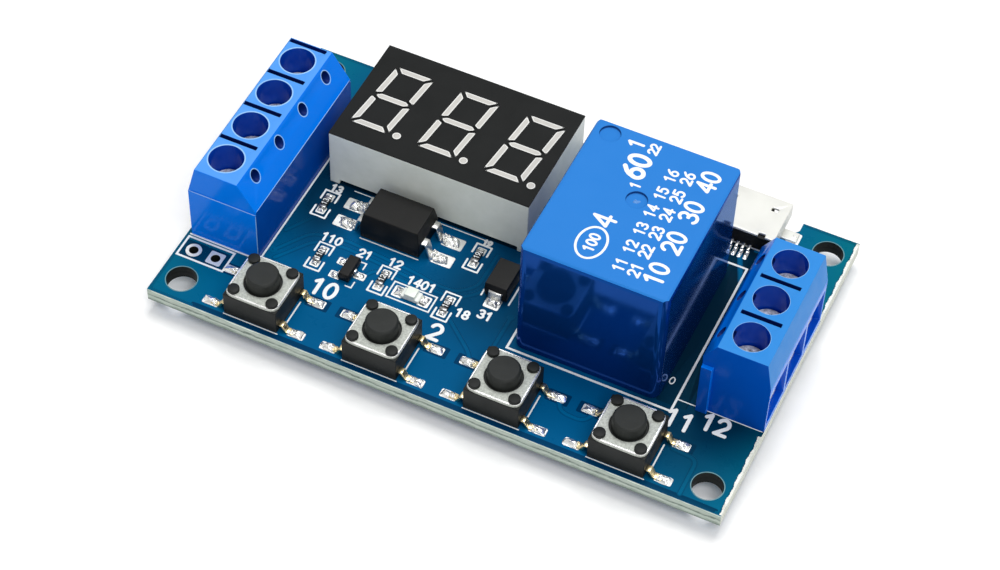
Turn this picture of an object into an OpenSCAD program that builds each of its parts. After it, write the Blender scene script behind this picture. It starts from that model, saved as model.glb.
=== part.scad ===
// Timer relay module: a circuit board that carries a relay, a three digit display,
// two screw terminal blocks, four push switches, a power socket and their small parts.
// The origin is the centre of the mounting holes, on the underside of the board.
// +X runs along the long edge to the relay outputs, +Y to the socket, +Z up. Millimetres.

/* [Board] */
// Thickness of the board
board_t = 1.6; // [1:0.1:2.4]
// Diameter of the four mounting holes
mount_hole_d = 3.2; // [2.2:0.1:4]
// Mounting hole centre to the short edges of the board
mount_inset_x = 2.5; // [2.4:0.1:3]
// Mounting hole centre to the long edges of the board
mount_inset_y = 2.7; // [2.4:0.1:3.5]
// Diameter of the two open holes for a pin header
header_hole_d = 1; // [0.6:0.05:1.3]
// Distance between the header holes
header_pitch = 2.54; // [2:0.01:2.6]
// First header hole to the short edge of the board
header_edge = 1.75; // [1.5:0.05:2.2]
// Header holes to the front end of the input block
header_gap = 1.9; // [1.2:0.05:2.2]
// Notch in the back edge under the socket's mouth, wider than the socket by this on each side
notch_side = 1.35; // [0.5:0.05:2]
// Depth of that notch
notch_depth = 1.55; // [0.8:0.05:2]
// Radius of the notch's inner corners
notch_r = 0.6; // [0.3:0.05:0.7]

/* [Layout] */
// Left edge of the board to the input block
input_edge = 0.45; // [0:0.05:2]
// Input block to the display
display_gap = 1.6; // [1.2:0.05:4]
// Display to the relay
relay_gap = 3.78; // [3.6:0.01:6]
// Relay to the output block
output_gap = 3.77; // [2:0.01:6]
// Output block to the right edge of the board
output_edge = 0; // [0:0.05:1]
// Front edge of the board to the push switches
switch_edge = 0.75; // [0.2:0.05:2]
// Push switches to the relay
switch_gap = 3.2; // [2:0.1:6]
// Relay to the back of the socket
usb_gap = 3.2; // [2:0.05:6]
// Mouth of the socket to the back edge of the board
usb_edge = 0.1; // [0:0.05:0.5]
// Display to the back edge of the board
display_back_gap = 2.75; // [2:0.05:3.4]
// Centre of the input block, behind the middle of the board
input_row_y = -0.1; // [-1:0.05:1]
// Centre of the output block, behind the middle of the board
output_row_y = -0.25; // [-1:0.05:1]
// Distance between neighbouring push switches
switch_pitch = 13.35; // [12.5:0.05:13.6]
// Socket's centre line, in from the right edge of the relay
usb_inset = 0.38; // [0:0.01:1]

/* [Solder joints] */
// Height of the joints under the board
solder_h = 1.6; // [1:0.1:2.2]
// Gap between a pin's corner and the wall of its hole, filled with solder
hole_clear = 0.15; // [0.05:0.01:0.25]
// Reach of a joint past the edge of its hole
solder_rim = 0.4; // [0.2:0.05:0.5]
// Solder left around the tip of a pin
solder_tip = 0.15; // [0.05:0.01:0.3]

/* [Relay] */
// Width of the relay
relay_w = 15.65; // [15:0.05:17]
// Length of the relay
relay_l = 19.15; // [18.6:0.05:21]
// Height of the relay
relay_h = 15.3; // [14:0.1:18]
// Wall of the relay cover
relay_wall = 0.9; // [0.7:0.05:1.1]
// Radius of the upright edges of the cover
relay_side_r = 1; // [0.5:0.05:1.5]
// Radius of the top edges of the cover
relay_top_r = 0.6; // [0.3:0.05:0.8]
// Diameter of the two round recesses in the top of the cover
dimple_d = 2.2; // [1.5:0.1:2.6]
// Depth of the round recesses
dimple_depth = 0.3; // [0.1:0.05:0.5]
// Corner recess in from the left side of the cover
dimple_left = 2; // [1.8:0.05:3]
// Corner recess in from the back of the cover
dimple_back = 1.7; // [1.7:0.05:3]
// Middle recess behind the cover's centre
dimple_middle = 1.05; // [0:0.05:2]
// Thickness of the relay base
relay_base_t = 1.4; // [1:0.05:1.6]
// Underside of the relay base above the board
relay_base_lift = 0.3; // [0.1:0.05:0.5]
// Room between the relay's works and the cover
works_clear = 0.4; // [0.2:0.05:0.6]
// Gap around the relay's base, pins and core
base_clear = 0.05; // [0.02:0.01:0.1]
// Side of the relay's square contact pins
relay_pin = 0.8; // [0.5:0.05:1]
// Side of the relay's square coil pins
coil_pin = 0.6; // [0.4:0.05:0.8]
// Coil and contact pins in from the cover's inner side walls
relay_pin_inset = 0.8; // [0.6:0.05:1.2]
// Coil pins forward of the common pin
coil_pin_gap = 2; // [1.5:0.05:2.4]
// Thickness of the yoke
yoke_t = 1.2; // [0.8:0.05:1.4]
// Width of the yoke and the armature
yoke_w = 9; // [7:0.1:10]
// Diameter of the iron core
core_d = 4; // [3:0.1:4.4]
// Diameter of the pole at the top of the core
pole_d = 5.6; // [5:0.1:7]
// Thickness of the pole
pole_t = 0.5; // [0.3:0.05:0.8]
// Diameter of the winding
coil_d = 9.2; // [8:0.1:9.4]
// Reach of the bobbin's flanges past the winding
flange_rim = 0.2; // [0.1:0.05:0.3]
// Wall of the bobbin
bobbin_wall = 0.6; // [0.4:0.05:0.8]
// Thickness of the bobbin flanges
flange_t = 0.8; // [0.5:0.05:1]
// Thickness of the armature
armature_t = 1; // [0.7:0.05:1.3]
// Reach of the armature past the pole
armature_over = 0.2; // [0:0.05:0.5]
// Gap between the armature and the top of the yoke
hinge_clear = 0.15; // [0.1:0.01:0.25]
// Gap that the armature closes at the far side of the pole
pole_gap = 0.45; // [0.35:0.01:0.5]
// Swing of the armature, in degrees
armature_swing = 2.4; // [1:0.1:2.4]
// Thickness of the contact blade
blade_t = 0.2; // [0.1:0.02:0.3]
// Width of the contact blade
blade_w = 4; // [3:0.1:5]
// Diameter of the contact buttons
contact_d = 2.4; // [1.8:0.1:2.8]
// Height of a contact button
contact_h = 0.4; // [0.25:0.05:0.5]
// Thickness of the fixed contact strips
strip_t = 0.4; // [0.3:0.05:0.5]
// Gap left at a contact that is closed
contact_rest = 0.05; // [0.02:0.01:0.1]
// Contact buttons to the inner end wall of the cover
contact_inset = 2.3; // [2:0.05:2.8]

/* [Display] */
// Face left and right of the row of digits
face_margin_x = 1.555; // [1.2:0.005:2]
// Face above and below the digits
face_margin_y = 2.5; // [2:0.05:3]
// Height of the display
display_h = 7.5; // [7:0.1:9]
// Wall of the display case
display_wall = 1; // [0.6:0.05:1.2]
// Thickness of the black face
face_t = 0.12; // [0.05:0.01:0.2]
// Space under the display's own board
display_lift = 2; // [1.8:0.05:2.5]
// Thickness of the display's own board
display_board_t = 1; // [0.6:0.05:1.4]
// Width of a corner foot of the case
foot_w = 1.1; // [0.8:0.05:2]
// Height of the slot between the feet
foot_h = 0.65; // [0.3:0.05:1]
// Distance between digits
digit_pitch = 7.62; // [7:0.01:7.7]
// Width of a digit
digit_w = 4.4; // [4:0.05:5]
// Height of a digit
digit_h = 9; // [8:0.05:10]
// Lean of the digits, in degrees
digit_lean = 6.4; // [0:0.1:8]
// Thickness of a segment
segment_t = 0.66; // [0.5:0.01:0.8]
// Gap between segments
segment_gap = 0.2; // [0.1:0.01:0.3]
// Digits right of the display's centre
digit_shift = 0.09; // [0:0.01:0.2]
// Diameter of a decimal point
dot_d = 0.9; // [0.6:0.05:1]
// Decimal point to the right edge of its digit's foot
dot_gap = 0.95; // [0.75:0.01:1]
// Decimal point below the foot of its digit
dot_drop = 0.25; // [0:0.01:0.4]
// Side of a light emitting chip
chip_size = 0.4; // [0.25:0.01:0.45]
// Side of a square display pin
display_pin = 0.5; // [0.35:0.01:0.6]
// Distance between display pins
display_pin_pitch = 2.54; // [2:0.01:2.6]
// Rows of display pins in from the inner walls of the case
display_pin_inset = 0.92; // [0.5:0.01:1.2]
// Gap around the display's own board
display_board_clear = 0.1; // [0.05:0.01:0.2]

/* [Terminal blocks] */
// Distance between poles
pole_pitch = 5.08; // [5:0.01:5.3]
// Height of the blocks
block_h = 10.25; // [9:0.05:12]
// Diameter of the screwdriver holes
driver_d = 3.65; // [3.6:0.05:4]
// Floor of the blocks
block_floor = 0.9; // [0.6:0.05:1.2]
// Diameter of the round vents in the inner slope
vent_d = 1.2; // [0.8:0.05:1.4]
// Vent's centre below the top of the block
vent_drop = 0.95; // [0.8:0.05:1.3]
// Width of the slots between poles
slot_w = 0.45; // [0.3:0.05:0.6]
// Length of those slots
slot_l = 4.2; // [3:0.1:4.5]
// Depth of those slots
slot_depth = 0.8; // [0.4:0.05:1.2]
// Widening of a wire entry at its mouth, on each side
mouth_flare = 0.3; // [0.1:0.02:0.4]
// Depth of that widening
mouth_depth = 0.9; // [0.4:0.05:1]
// Width of the locating rib on the end of the output block
rib_w = 1.15; // [0.8:0.05:1.2]
// Reach of the rib
rib_reach = 0.5; // [0.3:0.05:0.7]
// Height of the rib
rib_h = 7; // [5:0.1:8]

/* [Input block] */
// Screw axis to the outer wall
input_outer = 3.1; // [2.9:0.05:3.6]
// Screw axis to the inner wall
input_inner = 4.7; // [4.2:0.05:5.2]
// Screw axis to the outer edge of the top
input_top_outer = 2.2; // [2.1:0.05:2.6]
// Screw axis to the inner edge of the top
input_top_inner = 2.65; // [2.2:0.05:3]
// Drop of the inner slope
input_slope = 3.15; // [2:0.05:3.4]
// Drop of the outer slope
input_outer_slope = 3.5; // [2:0.05:3.8]
// End wall past the last pole's half pitch
input_end = 0.29; // [0:0.01:0.4]
// Step in the end walls at the foot of the slopes
end_step = 0.1; // [0.05:0.01:0.2]
// Wall behind the slot at the back end of the block
end_slot_wall = 0.15; // [0.1:0.01:0.25]

/* [Output block] */
// Screw axis to the outer wall
output_outer = 3.4; // [3:0.05:3.8]
// Screw axis to the inner wall
output_inner = 3.8; // [3.6:0.05:4.4]
// Screw axis to the outer edge of the top
output_top_outer = 2.75; // [2.2:0.05:2.9]
// Screw axis to the inner edge of the top
output_top_inner = 2.5; // [2.2:0.05:2.8]
// Drop of the inner slope
output_slope = 2.1; // [1.2:0.05:3]
// Drop of the outer slope
output_outer_slope = 3.5; // [1.5:0.05:3.6]
// End wall past the last pole's half pitch
output_end = 0.08; // [0:0.01:0.3]

/* [Screws and clamps] */
// Wall between the clamp boxes of neighbouring poles
pole_wall = 1.08; // [0.9:0.02:1.4]
// Length of a metal clamp box
box_l = 5.4; // [3.8:0.05:5.5]
// Height of a metal clamp box
box_h = 4.5; // [4:0.05:4.6]
// Side wall of the clamp box
box_wall = 0.5; // [0.3:0.05:0.6]
// Threaded top of the clamp box
box_top = 1.2; // [0.8:0.05:1.3]
// Floor of the clamp box
box_floor = 0.6; // [0.4:0.05:0.7]
// Gap around the clamp box
box_clear = 0.05; // [0.02:0.01:0.08]
// Side of a square terminal pin
terminal_pin = 1; // [0.8:0.05:1.2]
// Diameter of a terminal screw's shank
screw_d = 2.4; // [2:0.05:2.6]
// Gap around a terminal screw's head
head_clear = 0.15; // [0.1:0.01:0.3]
// Height of a terminal screw's head
screw_head_h = 1.4; // [0.9:0.05:1.5]
// Gap around the screw's shank
screw_clear = 0.06; // [0.02:0.01:0.1]
// Width of the driver slots in a screw's head
screw_slot_w = 0.6; // [0.4:0.05:0.8]
// Depth of the driver slots
screw_slot_depth = 0.6; // [0.3:0.05:0.7]
// Length of the short driver slot
screw_cross_l = 2.2; // [1.6:0.1:2.6]
// Thickness of the pressure plate under a screw
plate_t = 0.4; // [0.3:0.05:0.5]
// Gap between the pressure plate, the screw and the clamp box
plate_clear = 0.05; // [0.03:0.01:0.1]

/* [Push switches] */
// Side of a square switch body
switch_size = 6; // [5.8:0.05:6.5]
// Height of a switch body
switch_h = 2.95; // [2.8:0.05:4]
// Metal plate in from the sides of the switch body
cover_inset = 0.05; // [0.03:0.005:0.2]
// Thickness of the metal plate
cover_t = 0.25; // [0.15:0.05:0.4]
// Corner radius of the metal plate
cover_r = 1; // [0.4:0.05:1]
// Hold of the metal plate over the button's collar
collar_hold = 0.175; // [0.1:0.005:0.25]
// Diameter of a corner stake
stake_d = 1.25; // [1:0.05:1.3]
// Stakes in from the sides of the switch body
stake_inset = 0.83; // [0.75:0.01:0.9]
// Stake height above the metal plate
stake_rise = 0.35; // [0.1:0.05:0.5]
// Gap around a stake
stake_clear = 0.04; // [0.02:0.01:0.06]
// Wall between the well in the switch body and a stake
well_wall = 0.145; // [0.1:0.005:0.3]
// Gap between the well and the button's collar
well_clear = 0.15; // [0.08:0.01:0.25]
// Floor of the switch body
switch_floor = 0.9; // [0.6:0.05:1.1]
// Gap between a button and the metal plate
button_clear = 0.275; // [0.15:0.005:0.4]
// Button height above the metal plate
button_rise = 1.35; // [0.5:0.05:2]
// Bevel at the top edge of a button
button_bevel = 0.2; // [0.1:0.01:0.4]
// Diameter of the nub under a button
nub_d = 1.8; // [1.2:0.1:2.4]
// Gap between a pressed button's nub and the snap dome
nub_clear = 0.1; // [0.05:0.01:0.2]
// Thickness of the button's collar
collar_t = 0.6; // [0.4:0.05:0.8]
// Gap above the collar
collar_gap = 0.05; // [0.02:0.01:0.1]
// Travel of a button
button_travel = 0.25; // [0.15:0.01:0.25]
// Rise of the snap dome
dome_rise = 0.55; // [0.4:0.05:0.7]
// Gap between the snap dome and the well
dome_clear = 0.2; // [0.1:0.01:0.3]
// Thickness of the snap dome
dome_t = 0.1; // [0.08:0.01:0.15]
// Height where the legs leave the switch body
leg_exit = 0.85; // [0.6:0.05:1.2]
// Reach of the legs past the switch body
leg_reach = 1.75; // [1.3:0.05:2]
// Width of a leg
leg_w = 0.75; // [0.5:0.05:0.9]
// Legs in from the front and back of the switch body
leg_inset = 0.75; // [0.5:0.05:1]

/* [Small parts] */
// Thickness of the leads of small parts
lead_t = 0.22; // [0.15:0.01:0.25]
// Draft of the larger moulded bodies above their leads
body_draft = 0.3; // [0.1:0.05:0.6]
// Draft of the larger moulded bodies below their leads
foot_draft = 0.05; // [0.05:0.01:0.2]
// Draft of the smaller moulded bodies
small_draft = 0.1; // [0.05:0.01:0.15]
// Underside of the moulded bodies above the board
body_lift = 0.1; // [0.05:0.01:0.15]
// Length of a lead inside its body
lead_root = 0.3; // [0.2:0.05:0.6]
// Optocoupler width, length and height
opto_size = [6.8, 4.58, 3.35];
// Optocoupler right of the display's left side and forward of its front
opto_at = [9.7, 3.2];
// Distance between the optocoupler's leads on one side
opto_lead_pitch = 2.54; // [2:0.01:2.6]
// Width of the optocoupler's leads
opto_lead_w = 1; // [0.6:0.05:1.2]
// Reach of the optocoupler's leads
opto_reach = 1.9; // [1.4:0.05:2]
// Transistor width, length and height
transistor_size = [1.3, 2.9, 1.05];
// Transistor right of the display's left side and behind the switches
transistor_at = [7.55, 4.3];
// Distance between the transistor's paired leads
transistor_lead_pitch = 1.9; // [1.8:0.01:2]
// Reach of the transistor's leads
transistor_reach = 0.55; // [0.4:0.05:0.7]
// Width of the transistor's leads
transistor_lead_w = 0.42; // [0.3:0.01:0.5]
// Diode width, length and height
diode_size = [2.6, 3.9, 1.9];
// Diode left of the relay and forward of the display's front
diode_at = [4.13, 4.85];
// Width of the diode's leads
diode_lead_w = 1.45; // [1:0.05:1.6]
// Reach of the diode's leads
diode_reach = 0.6; // [0.4:0.05:0.8]
// Chip resistor width, length and height
resistor_size = [0.8, 1.6, 0.45];
// Length of the metal ends on a chip
chip_end = 0.3; // [0.2:0.01:0.4]
// Thickness of the metal on a chip's end
chip_plating = 0.03; // [0.02:0.005:0.05]
// Chip resistors next to the optocoupler, right of the display's left side and forward of its front
resistor_back_at = [[1.05, 3.1], [18.4, 2.65]];
// Chip resistors near the switches, right of the display's left side and behind the switches
resistor_front_at = [[3.8, 4.8], [11, 4.85], [18.35, 4.65]];
// Indicator light width, length and height
indicator_size = [2, 1.25, 0.4];
// Indicator light right of the display's left side and behind the switches
indicator_at = [14.65, 4.25];
// Length of the indicator's lens
lens_l = 1.2; // [0.8:0.05:1.4]
// Height of the indicator's lens
lens_h = 0.45; // [0.2:0.05:0.8]

/* [Parts under the display] */
// Controller width, length and height
controller_size = [6.5, 4.4, 1];
// Controller left of the display's centre
controller_at = 2.6; // [2:0.1:3]
// Number of controller leads on one side
controller_leads = 10; // [8:1:10]
// Distance between the controller's leads
controller_pitch = 0.65; // [0.6:0.01:0.66]
// Width of the controller's leads
controller_lead_w = 0.24; // [0.2:0.01:0.3]
// Reach of the controller's leads
controller_reach = 0.95; // [0.7:0.05:1]
// Regulator width, length and height
regulator_size = [2.5, 4.5, 1.5];
// Regulator's centre to the right inner wall of the display
regulator_inset = 5.05; // [4.7:0.05:6]
// Distance between the regulator's leads
regulator_pitch = 1.5; // [1.2:0.05:1.6]
// Width of the regulator's leads
regulator_lead_w = 0.45; // [0.3:0.01:0.5]
// Reach of the regulator's leads
regulator_reach = 0.9; // [0.6:0.05:1]
// Chip capacitor width, length and height
capacitor_size = [0.8, 1.6, 0.8];
// Distance between chip capacitors
capacitor_pitch = 2.6; // [2:0.1:3]
// Chip capacitors' centres to the left inner wall of the display
capacitor_inset = 1.85; // [1.6:0.05:2.6]

/* [Socket] */
// Width of the socket's shell
usb_w = 7.5; // [7:0.1:8]
// Depth of the socket's shell
usb_l = 5.6; // [5:0.1:6]
// Height of the socket's shell
usb_h = 2.5; // [2.3:0.05:3]
// Wall of the shell
usb_wall = 0.3; // [0.2:0.01:0.35]
// Bevel at the lower corners of the shell
usb_bevel = 0.7; // [0.4:0.05:0.9]
// Reach of the shell's mounting tabs
tab_reach = 1.6; // [1:0.05:2]
// Width of the mounting tabs
tab_w = 1.3; // [1:0.05:1.6]
// Mounting tabs back from the mouth
tab_inset = 2.25; // [2.1:0.05:2.6]
// Depth of the rear block of the socket's insulator
insert_l = 1.8; // [1.2:0.05:2]
// Width of the insulator's tongue
tongue_w = 4.2; // [3.6:0.05:4.6]
// Thickness of the tongue
tongue_t = 0.6; // [0.4:0.05:0.8]
// Tongue back from the mouth
tongue_inset = 1; // [0.6:0.05:1.5]
// Distance between contact tails
tail_pitch = 0.65; // [0.6:0.01:0.66]
// Width of a contact tail
tail_w = 0.3; // [0.2:0.01:0.4]
// Reach of a contact tail behind the shell
tail_reach = 0.9; // [0.4:0.05:1]
// Gap between the insulator and the shell
insert_clear = 0.02; // [0.01:0.01:0.05]
// Width of the windows and notches in the shell's top
window_w = 0.75; // [0.5:0.05:1]
// Length of the windows and notches
window_l = 0.45; // [0.3:0.05:0.6]
// Windows back from the mouth
window_inset = 1.6; // [1.2:0.05:2]
// Windows and notches from the socket's centre line
window_x = 2.3; // [1.8:0.05:2.4]

/* [Hidden] */
$fn = 48;

// Length past a face that a cut needs to open it
over = 0.5;
input_poles = 4;
output_poles = 3;
usb_tails = 5;
digit_count = 3;
display_pin_count = 6;

// The display's outline follows its digits
display_w = (digit_count - 1) * digit_pitch + digit_w + 2 * face_margin_x;
display_l = digit_h + 2 * face_margin_y;
display_in_w = display_w - 2 * display_wall;
display_in_l = display_l - 2 * display_wall;

// The board is as large as the row of parts along it and the row of parts across it
board_l = input_edge + input_outer + input_inner + display_gap + display_w + relay_gap
    + relay_w + output_gap + output_inner + output_outer + output_edge;
board_w = switch_edge + switch_size + switch_gap + relay_l + usb_gap + usb_l + usb_edge;
left_edge = -board_l / 2;
right_edge = board_l / 2;
front_edge = -board_w / 2;
back_edge = board_w / 2;

// Places of the parts on the board
input_x = left_edge + input_edge + input_outer;
display_left = input_x + input_inner + display_gap;
display_x = display_left + display_w / 2;
relay_left = display_left + display_w + relay_gap;
relay_x = relay_left + relay_w / 2;
output_x = right_edge - output_edge - output_outer;
switch_y = front_edge + switch_edge + switch_size / 2;
switch_back = switch_y + switch_size / 2;
relay_y = switch_back + switch_gap + relay_l / 2;
display_y = back_edge - display_back_gap - display_l / 2;
display_front = display_y - display_l / 2;
usb_x = relay_left + relay_w - usb_inset;
usb_back = relay_y + relay_l / 2 + usb_gap;

function switch_x(index) = (index - 2.5) * switch_pitch;
function pole_at(poles, index) = (index - (poles + 1) / 2) * pole_pitch;
function block_l(poles, end) = poles * pole_pitch + 2 * end;
function behind_switches(place) = [display_left + place[0], switch_back + place[1]];
function before_display(place) = [display_left + place[0], display_front - place[1]];

// Inside of the relay, from its centre line and the top of the board
cover_in_l = relay_l - 2 * relay_wall;
cover_in_w = relay_w - 2 * relay_wall;
cover_in_h = relay_h - relay_wall;
base_top = relay_base_lift + relay_base_t;
relay_pin_x = cover_in_w / 2 - relay_pin_inset;
yoke_y = -cover_in_l / 2 + works_clear + yoke_t / 2;
contact_y = cover_in_l / 2 - contact_inset;
break_strip_z = cover_in_h - works_clear / 4 - strip_t;
blade_top = break_strip_z - contact_h - contact_rest - contact_h;
blade_z = blade_top - blade_t;
armature_z = blade_z - armature_t;
yoke_top = armature_z - hinge_clear;
hinge_z = yoke_top - yoke_t / 2;
pole_top = armature_z - pole_gap;
bobbin_top = pole_top - pole_t;
bobbin_z = base_top + yoke_t;
bobbin_d = core_d + 2 * base_clear + 2 * bobbin_wall;
flange_d = coil_d + 2 * flange_rim;
core_y = yoke_y + yoke_t / 2 + works_clear + flange_d / 2;
armature_end = core_y + pole_d / 2 + armature_over;
blade_end = contact_y + contact_d / 2;
closed_drop = tan(armature_swing) * (blade_end - yoke_y);
make_top = blade_z - contact_h - closed_drop - contact_rest;
make_strip_z = make_top - contact_h - strip_t;
coil_pin_y = yoke_y + coil_pin_gap;

// Pins that go through the board: place and side of the square pin
relay_pin_places = [[0, yoke_y, relay_pin],
    [relay_pin_x, coil_pin_y, coil_pin], [-relay_pin_x, coil_pin_y, coil_pin],
    [relay_pin_x, contact_y, relay_pin], [-relay_pin_x, contact_y, relay_pin]];
display_row = display_in_l / 2 - display_pin_inset;
display_pin_places = [for (index = [1:display_pin_count], side = [-1, 1])
    [(index - (display_pin_count + 1) / 2) * display_pin_pitch, side * display_row]];
through_pins = concat(
    [for (p = relay_pin_places) [relay_x + p[0], relay_y + p[1], p[2]]],
    [for (p = display_pin_places) [display_x + p[0], display_y + p[1], display_pin]],
    [for (k = [1:input_poles]) [input_x, input_row_y - pole_at(input_poles, k), terminal_pin]],
    [for (k = [1:output_poles]) [output_x, output_row_y + pole_at(output_poles, k), terminal_pin]]);
pin_drop = board_t + solder_h;
function pin_corner_d(pin) = pin * sqrt(2);
function pin_hole_d(pin) = pin_corner_d(pin) + 2 * hole_clear;

// Outlines of one digit, upright and centred
digit_x = digit_w / 2;
digit_y = digit_h / 2;
top_bar = [[-digit_x + segment_gap, digit_y], [digit_x - segment_gap, digit_y],
    [digit_x - segment_t - segment_gap, digit_y - segment_t],
    [-digit_x + segment_t + segment_gap, digit_y - segment_t]];
side_bar = [[digit_x, digit_y - segment_gap], [digit_x, segment_gap],
    [digit_x - segment_t, segment_t / 2 + segment_gap],
    [digit_x - segment_t, digit_y - segment_t - segment_gap]];
middle_tip = digit_x - segment_gap;
middle_shoulder = digit_x - segment_t / 2 - 2 * segment_gap;
middle_bar = [[-middle_tip, 0], [-middle_shoulder, segment_t / 2], [middle_shoulder, segment_t / 2],
    [middle_tip, 0], [middle_shoulder, -segment_t / 2], [-middle_shoulder, -segment_t / 2]];
function turned(points, across, up) = [for (p = points) [p[0] * across, p[1] * up]];
function leaned(points) = [for (p = points) [p[0] + p[1] * tan(digit_lean), p[1]]];
function middle(points) = [for (axis = [0, 1]) [for (p = points) p[axis]] * [for (p = points) 1]
    / len(points)];
digit_bars = [for (bar = [top_bar, turned(top_bar, 1, -1), middle_bar, side_bar,
    turned(side_bar, -1, 1), turned(side_bar, 1, -1), turned(side_bar, -1, -1)]) leaned(bar)];
digit_places = [for (index = [1:digit_count])
    (index - (digit_count + 1) / 2) * digit_pitch + digit_shift];
dot_at = [digit_x + dot_gap - digit_y * tan(digit_lean), -digit_y + dot_d / 2 - dot_drop];
case_h = display_h - face_t;
recess_h = display_lift + display_board_t;
chip_clear = 0.01;

// Screw terminals, from a pole's axis and the top of the board
pocket_w = pole_pitch - pole_wall;
box_w = pocket_w - 2 * box_clear;
screw_head_d = driver_d - 2 * head_clear;
pocket_top = block_floor + box_h + box_clear;
box_back = -box_l / 2;
plate_z = block_floor + box_floor + plate_clear;
plate_w = box_w - 2 * box_wall - 4 * plate_clear;
plate_l = box_l - 8 * plate_clear;
screw_tip = plate_z + plate_t + plate_clear;
screw_seat = block_floor + box_h + plate_clear;

// Push switches, from a switch's axis and the top of the board
cover_size = switch_size - 2 * cover_inset;
stake_pitch = switch_size - 2 * stake_inset;
leg_pitch = switch_size - 2 * leg_inset;
well_d = stake_pitch * sqrt(2) - stake_d - 2 * well_wall;
collar_d = well_d - 2 * well_clear;
cover_hole_d = collar_d - 2 * collar_hold;
button_d = cover_hole_d - 2 * button_clear;
dome_d = well_d - 2 * dome_clear;
collar_top = switch_h - collar_gap;
collar_z = collar_top - collar_t;
dome_top = switch_floor + dome_rise;
nub_z = dome_top + button_travel + nub_clear;
dome_r = (pow(dome_d / 2, 2) + pow(dome_rise, 2)) / (2 * dome_rise);

// Frames of reference for the parts on the board
module on_board(x, y) { translate([x, y, board_t]) children(); }
module at_relay() { on_board(relay_x, relay_y) children(); }
module at_display() { on_board(display_x, display_y) children(); }
module at_input() { on_board(input_x, input_row_y) rotate([0, 0, 180]) children(); }
module at_output() { on_board(output_x, output_row_y) children(); }
module at_pole(poles, index) { translate([0, pole_at(poles, index), 0]) children(); }
module at_switch(index) { on_board(switch_x(index), switch_y) children(); }
module at_socket() { on_board(usb_x, usb_back) children(); }

// A box that stands on z, centred on the axis
module block(size, z = 0) { translate([-size[0] / 2, -size[1] / 2, z]) cube(size); }

// A square pin from a height above the board down to the tip of its solder joint
module through_pin(side, top) { block([side, side, pin_drop + top], -pin_drop); }

module rounded_rect(size, r) {
    square([size[0] - 2 * r, size[1]], center = true);
    square([size[0], size[1] - 2 * r], center = true);
    for (x = [-1, 1], y = [-1, 1])
        translate([x * (size[0] / 2 - r), y * (size[1] / 2 - r)]) circle(r);
}

// An upright outline with round top corners, standing on the axis
module arched(width, height, r) {
    translate([-width / 2, 0]) square([width, height - r]);
    translate([-width / 2 + r, 0]) square([width - 2 * r, height]);
    for (x = [-1, 1]) translate([x * (width / 2 - r), height - r]) circle(r);
}

// A block with round upright edges and round top edges
module soft_block(size, side_r, top_r) {
    intersection() {
        linear_extrude(size[2]) rounded_rect([size[0], size[1]], side_r);
        rotate([90, 0, 90]) linear_extrude(size[0], center = true) arched(size[1], size[2], top_r);
        rotate([90, 0, 0]) linear_extrude(size[1], center = true) arched(size[0], size[2], top_r);
    }
}

// A moulded body: widest at mid height, with a draft above and below
module drafted(size, draft, lift, foot) {
    function side(width) = [[-width / 2 + foot, 0], [width / 2 - foot, 0], [width / 2, size[2] / 2],
        [width / 2 - draft, size[2]], [-width / 2 + draft, size[2]], [-width / 2, size[2] / 2]];
    translate([0, 0, lift]) intersection() {
        rotate([90, 0, 90]) linear_extrude(size[0], center = true) polygon(side(size[1]));
        rotate([90, 0, 0]) linear_extrude(size[1], center = true) polygon(side(size[0]));
    }
}

// A lead that leaves a body at the axis, bends down and runs out flat along +X.
// The bends take these shares of its reach.
knee_share = 0.3;
drop_share = 0.2;
module gull_lead(exit, reach, width, root = 0) {
    knee = reach * knee_share;
    drop = reach * drop_share;
    rotate([90, 0, 0]) linear_extrude(width, center = true) polygon([
        [-root, exit + lead_t / 2], [knee, exit + lead_t / 2], [knee + drop, lead_t],
        [reach, lead_t], [reach, 0], [knee + drop - lead_t, 0],
        [knee - lead_t, exit - lead_t / 2], [-root, exit - lead_t / 2]]);
}

// A chip with metal ends, long along Y
module chip(size) {
    block([size[0] - 2 * chip_plating, size[1] - 2 * chip_plating, size[2] - 2 * chip_plating],
        chip_plating);
    for (side = [-1, 1])
        translate([0, side * (size[1] - chip_end) / 2, 0]) block([size[0], chip_end, size[2]]);
}

module circuit_board() {
    color("midnightblue") linear_extrude(board_t) difference() {
        square([board_l, board_w], center = true);
        for (x = [-1, 1], y = [-1, 1])
            translate([x * (board_l / 2 - mount_inset_x), y * (board_w / 2 - mount_inset_y)])
                circle(d = mount_hole_d);
        for (index = [0, 1])
            translate([left_edge + header_edge + index * header_pitch,
                input_row_y - block_l(input_poles, input_end) / 2 - header_gap])
                circle(d = header_hole_d);
        for (pin = through_pins) translate([pin[0], pin[1]]) circle(d = pin_hole_d(pin[2]));
        translate([usb_x, back_edge]) rounded_rect([usb_w + 2 * notch_side, 2 * notch_depth], notch_r);
    }
}

module solder_joints() {
    color("silver") for (pin = through_pins) translate([pin[0], pin[1], 0]) difference() {
        union() {
            translate([0, 0, -solder_h])
                cylinder(h = solder_h, d1 = pin_corner_d(pin[2]) + 2 * solder_tip,
                    d2 = pin_hole_d(pin[2]) + 2 * solder_rim);
            cylinder(h = board_t, d = pin_hole_d(pin[2]));
        }
        block([pin[2], pin[2], pin_drop + 2 * over], -solder_h - over);
    }
}

module relay_cover() {
    dimples = [[-relay_w / 2 + dimple_left, relay_l / 2 - dimple_back], [0, dimple_middle]];
    color("royalblue") at_relay() difference() {
        soft_block([relay_w, relay_l, relay_h], relay_side_r, relay_top_r);
        block([cover_in_w, cover_in_l, cover_in_h + over], -over);
        for (place = dimples) translate([place[0], place[1], relay_h - dimple_depth])
            cylinder(h = dimple_depth + over, d = dimple_d);
    }
}

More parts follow.
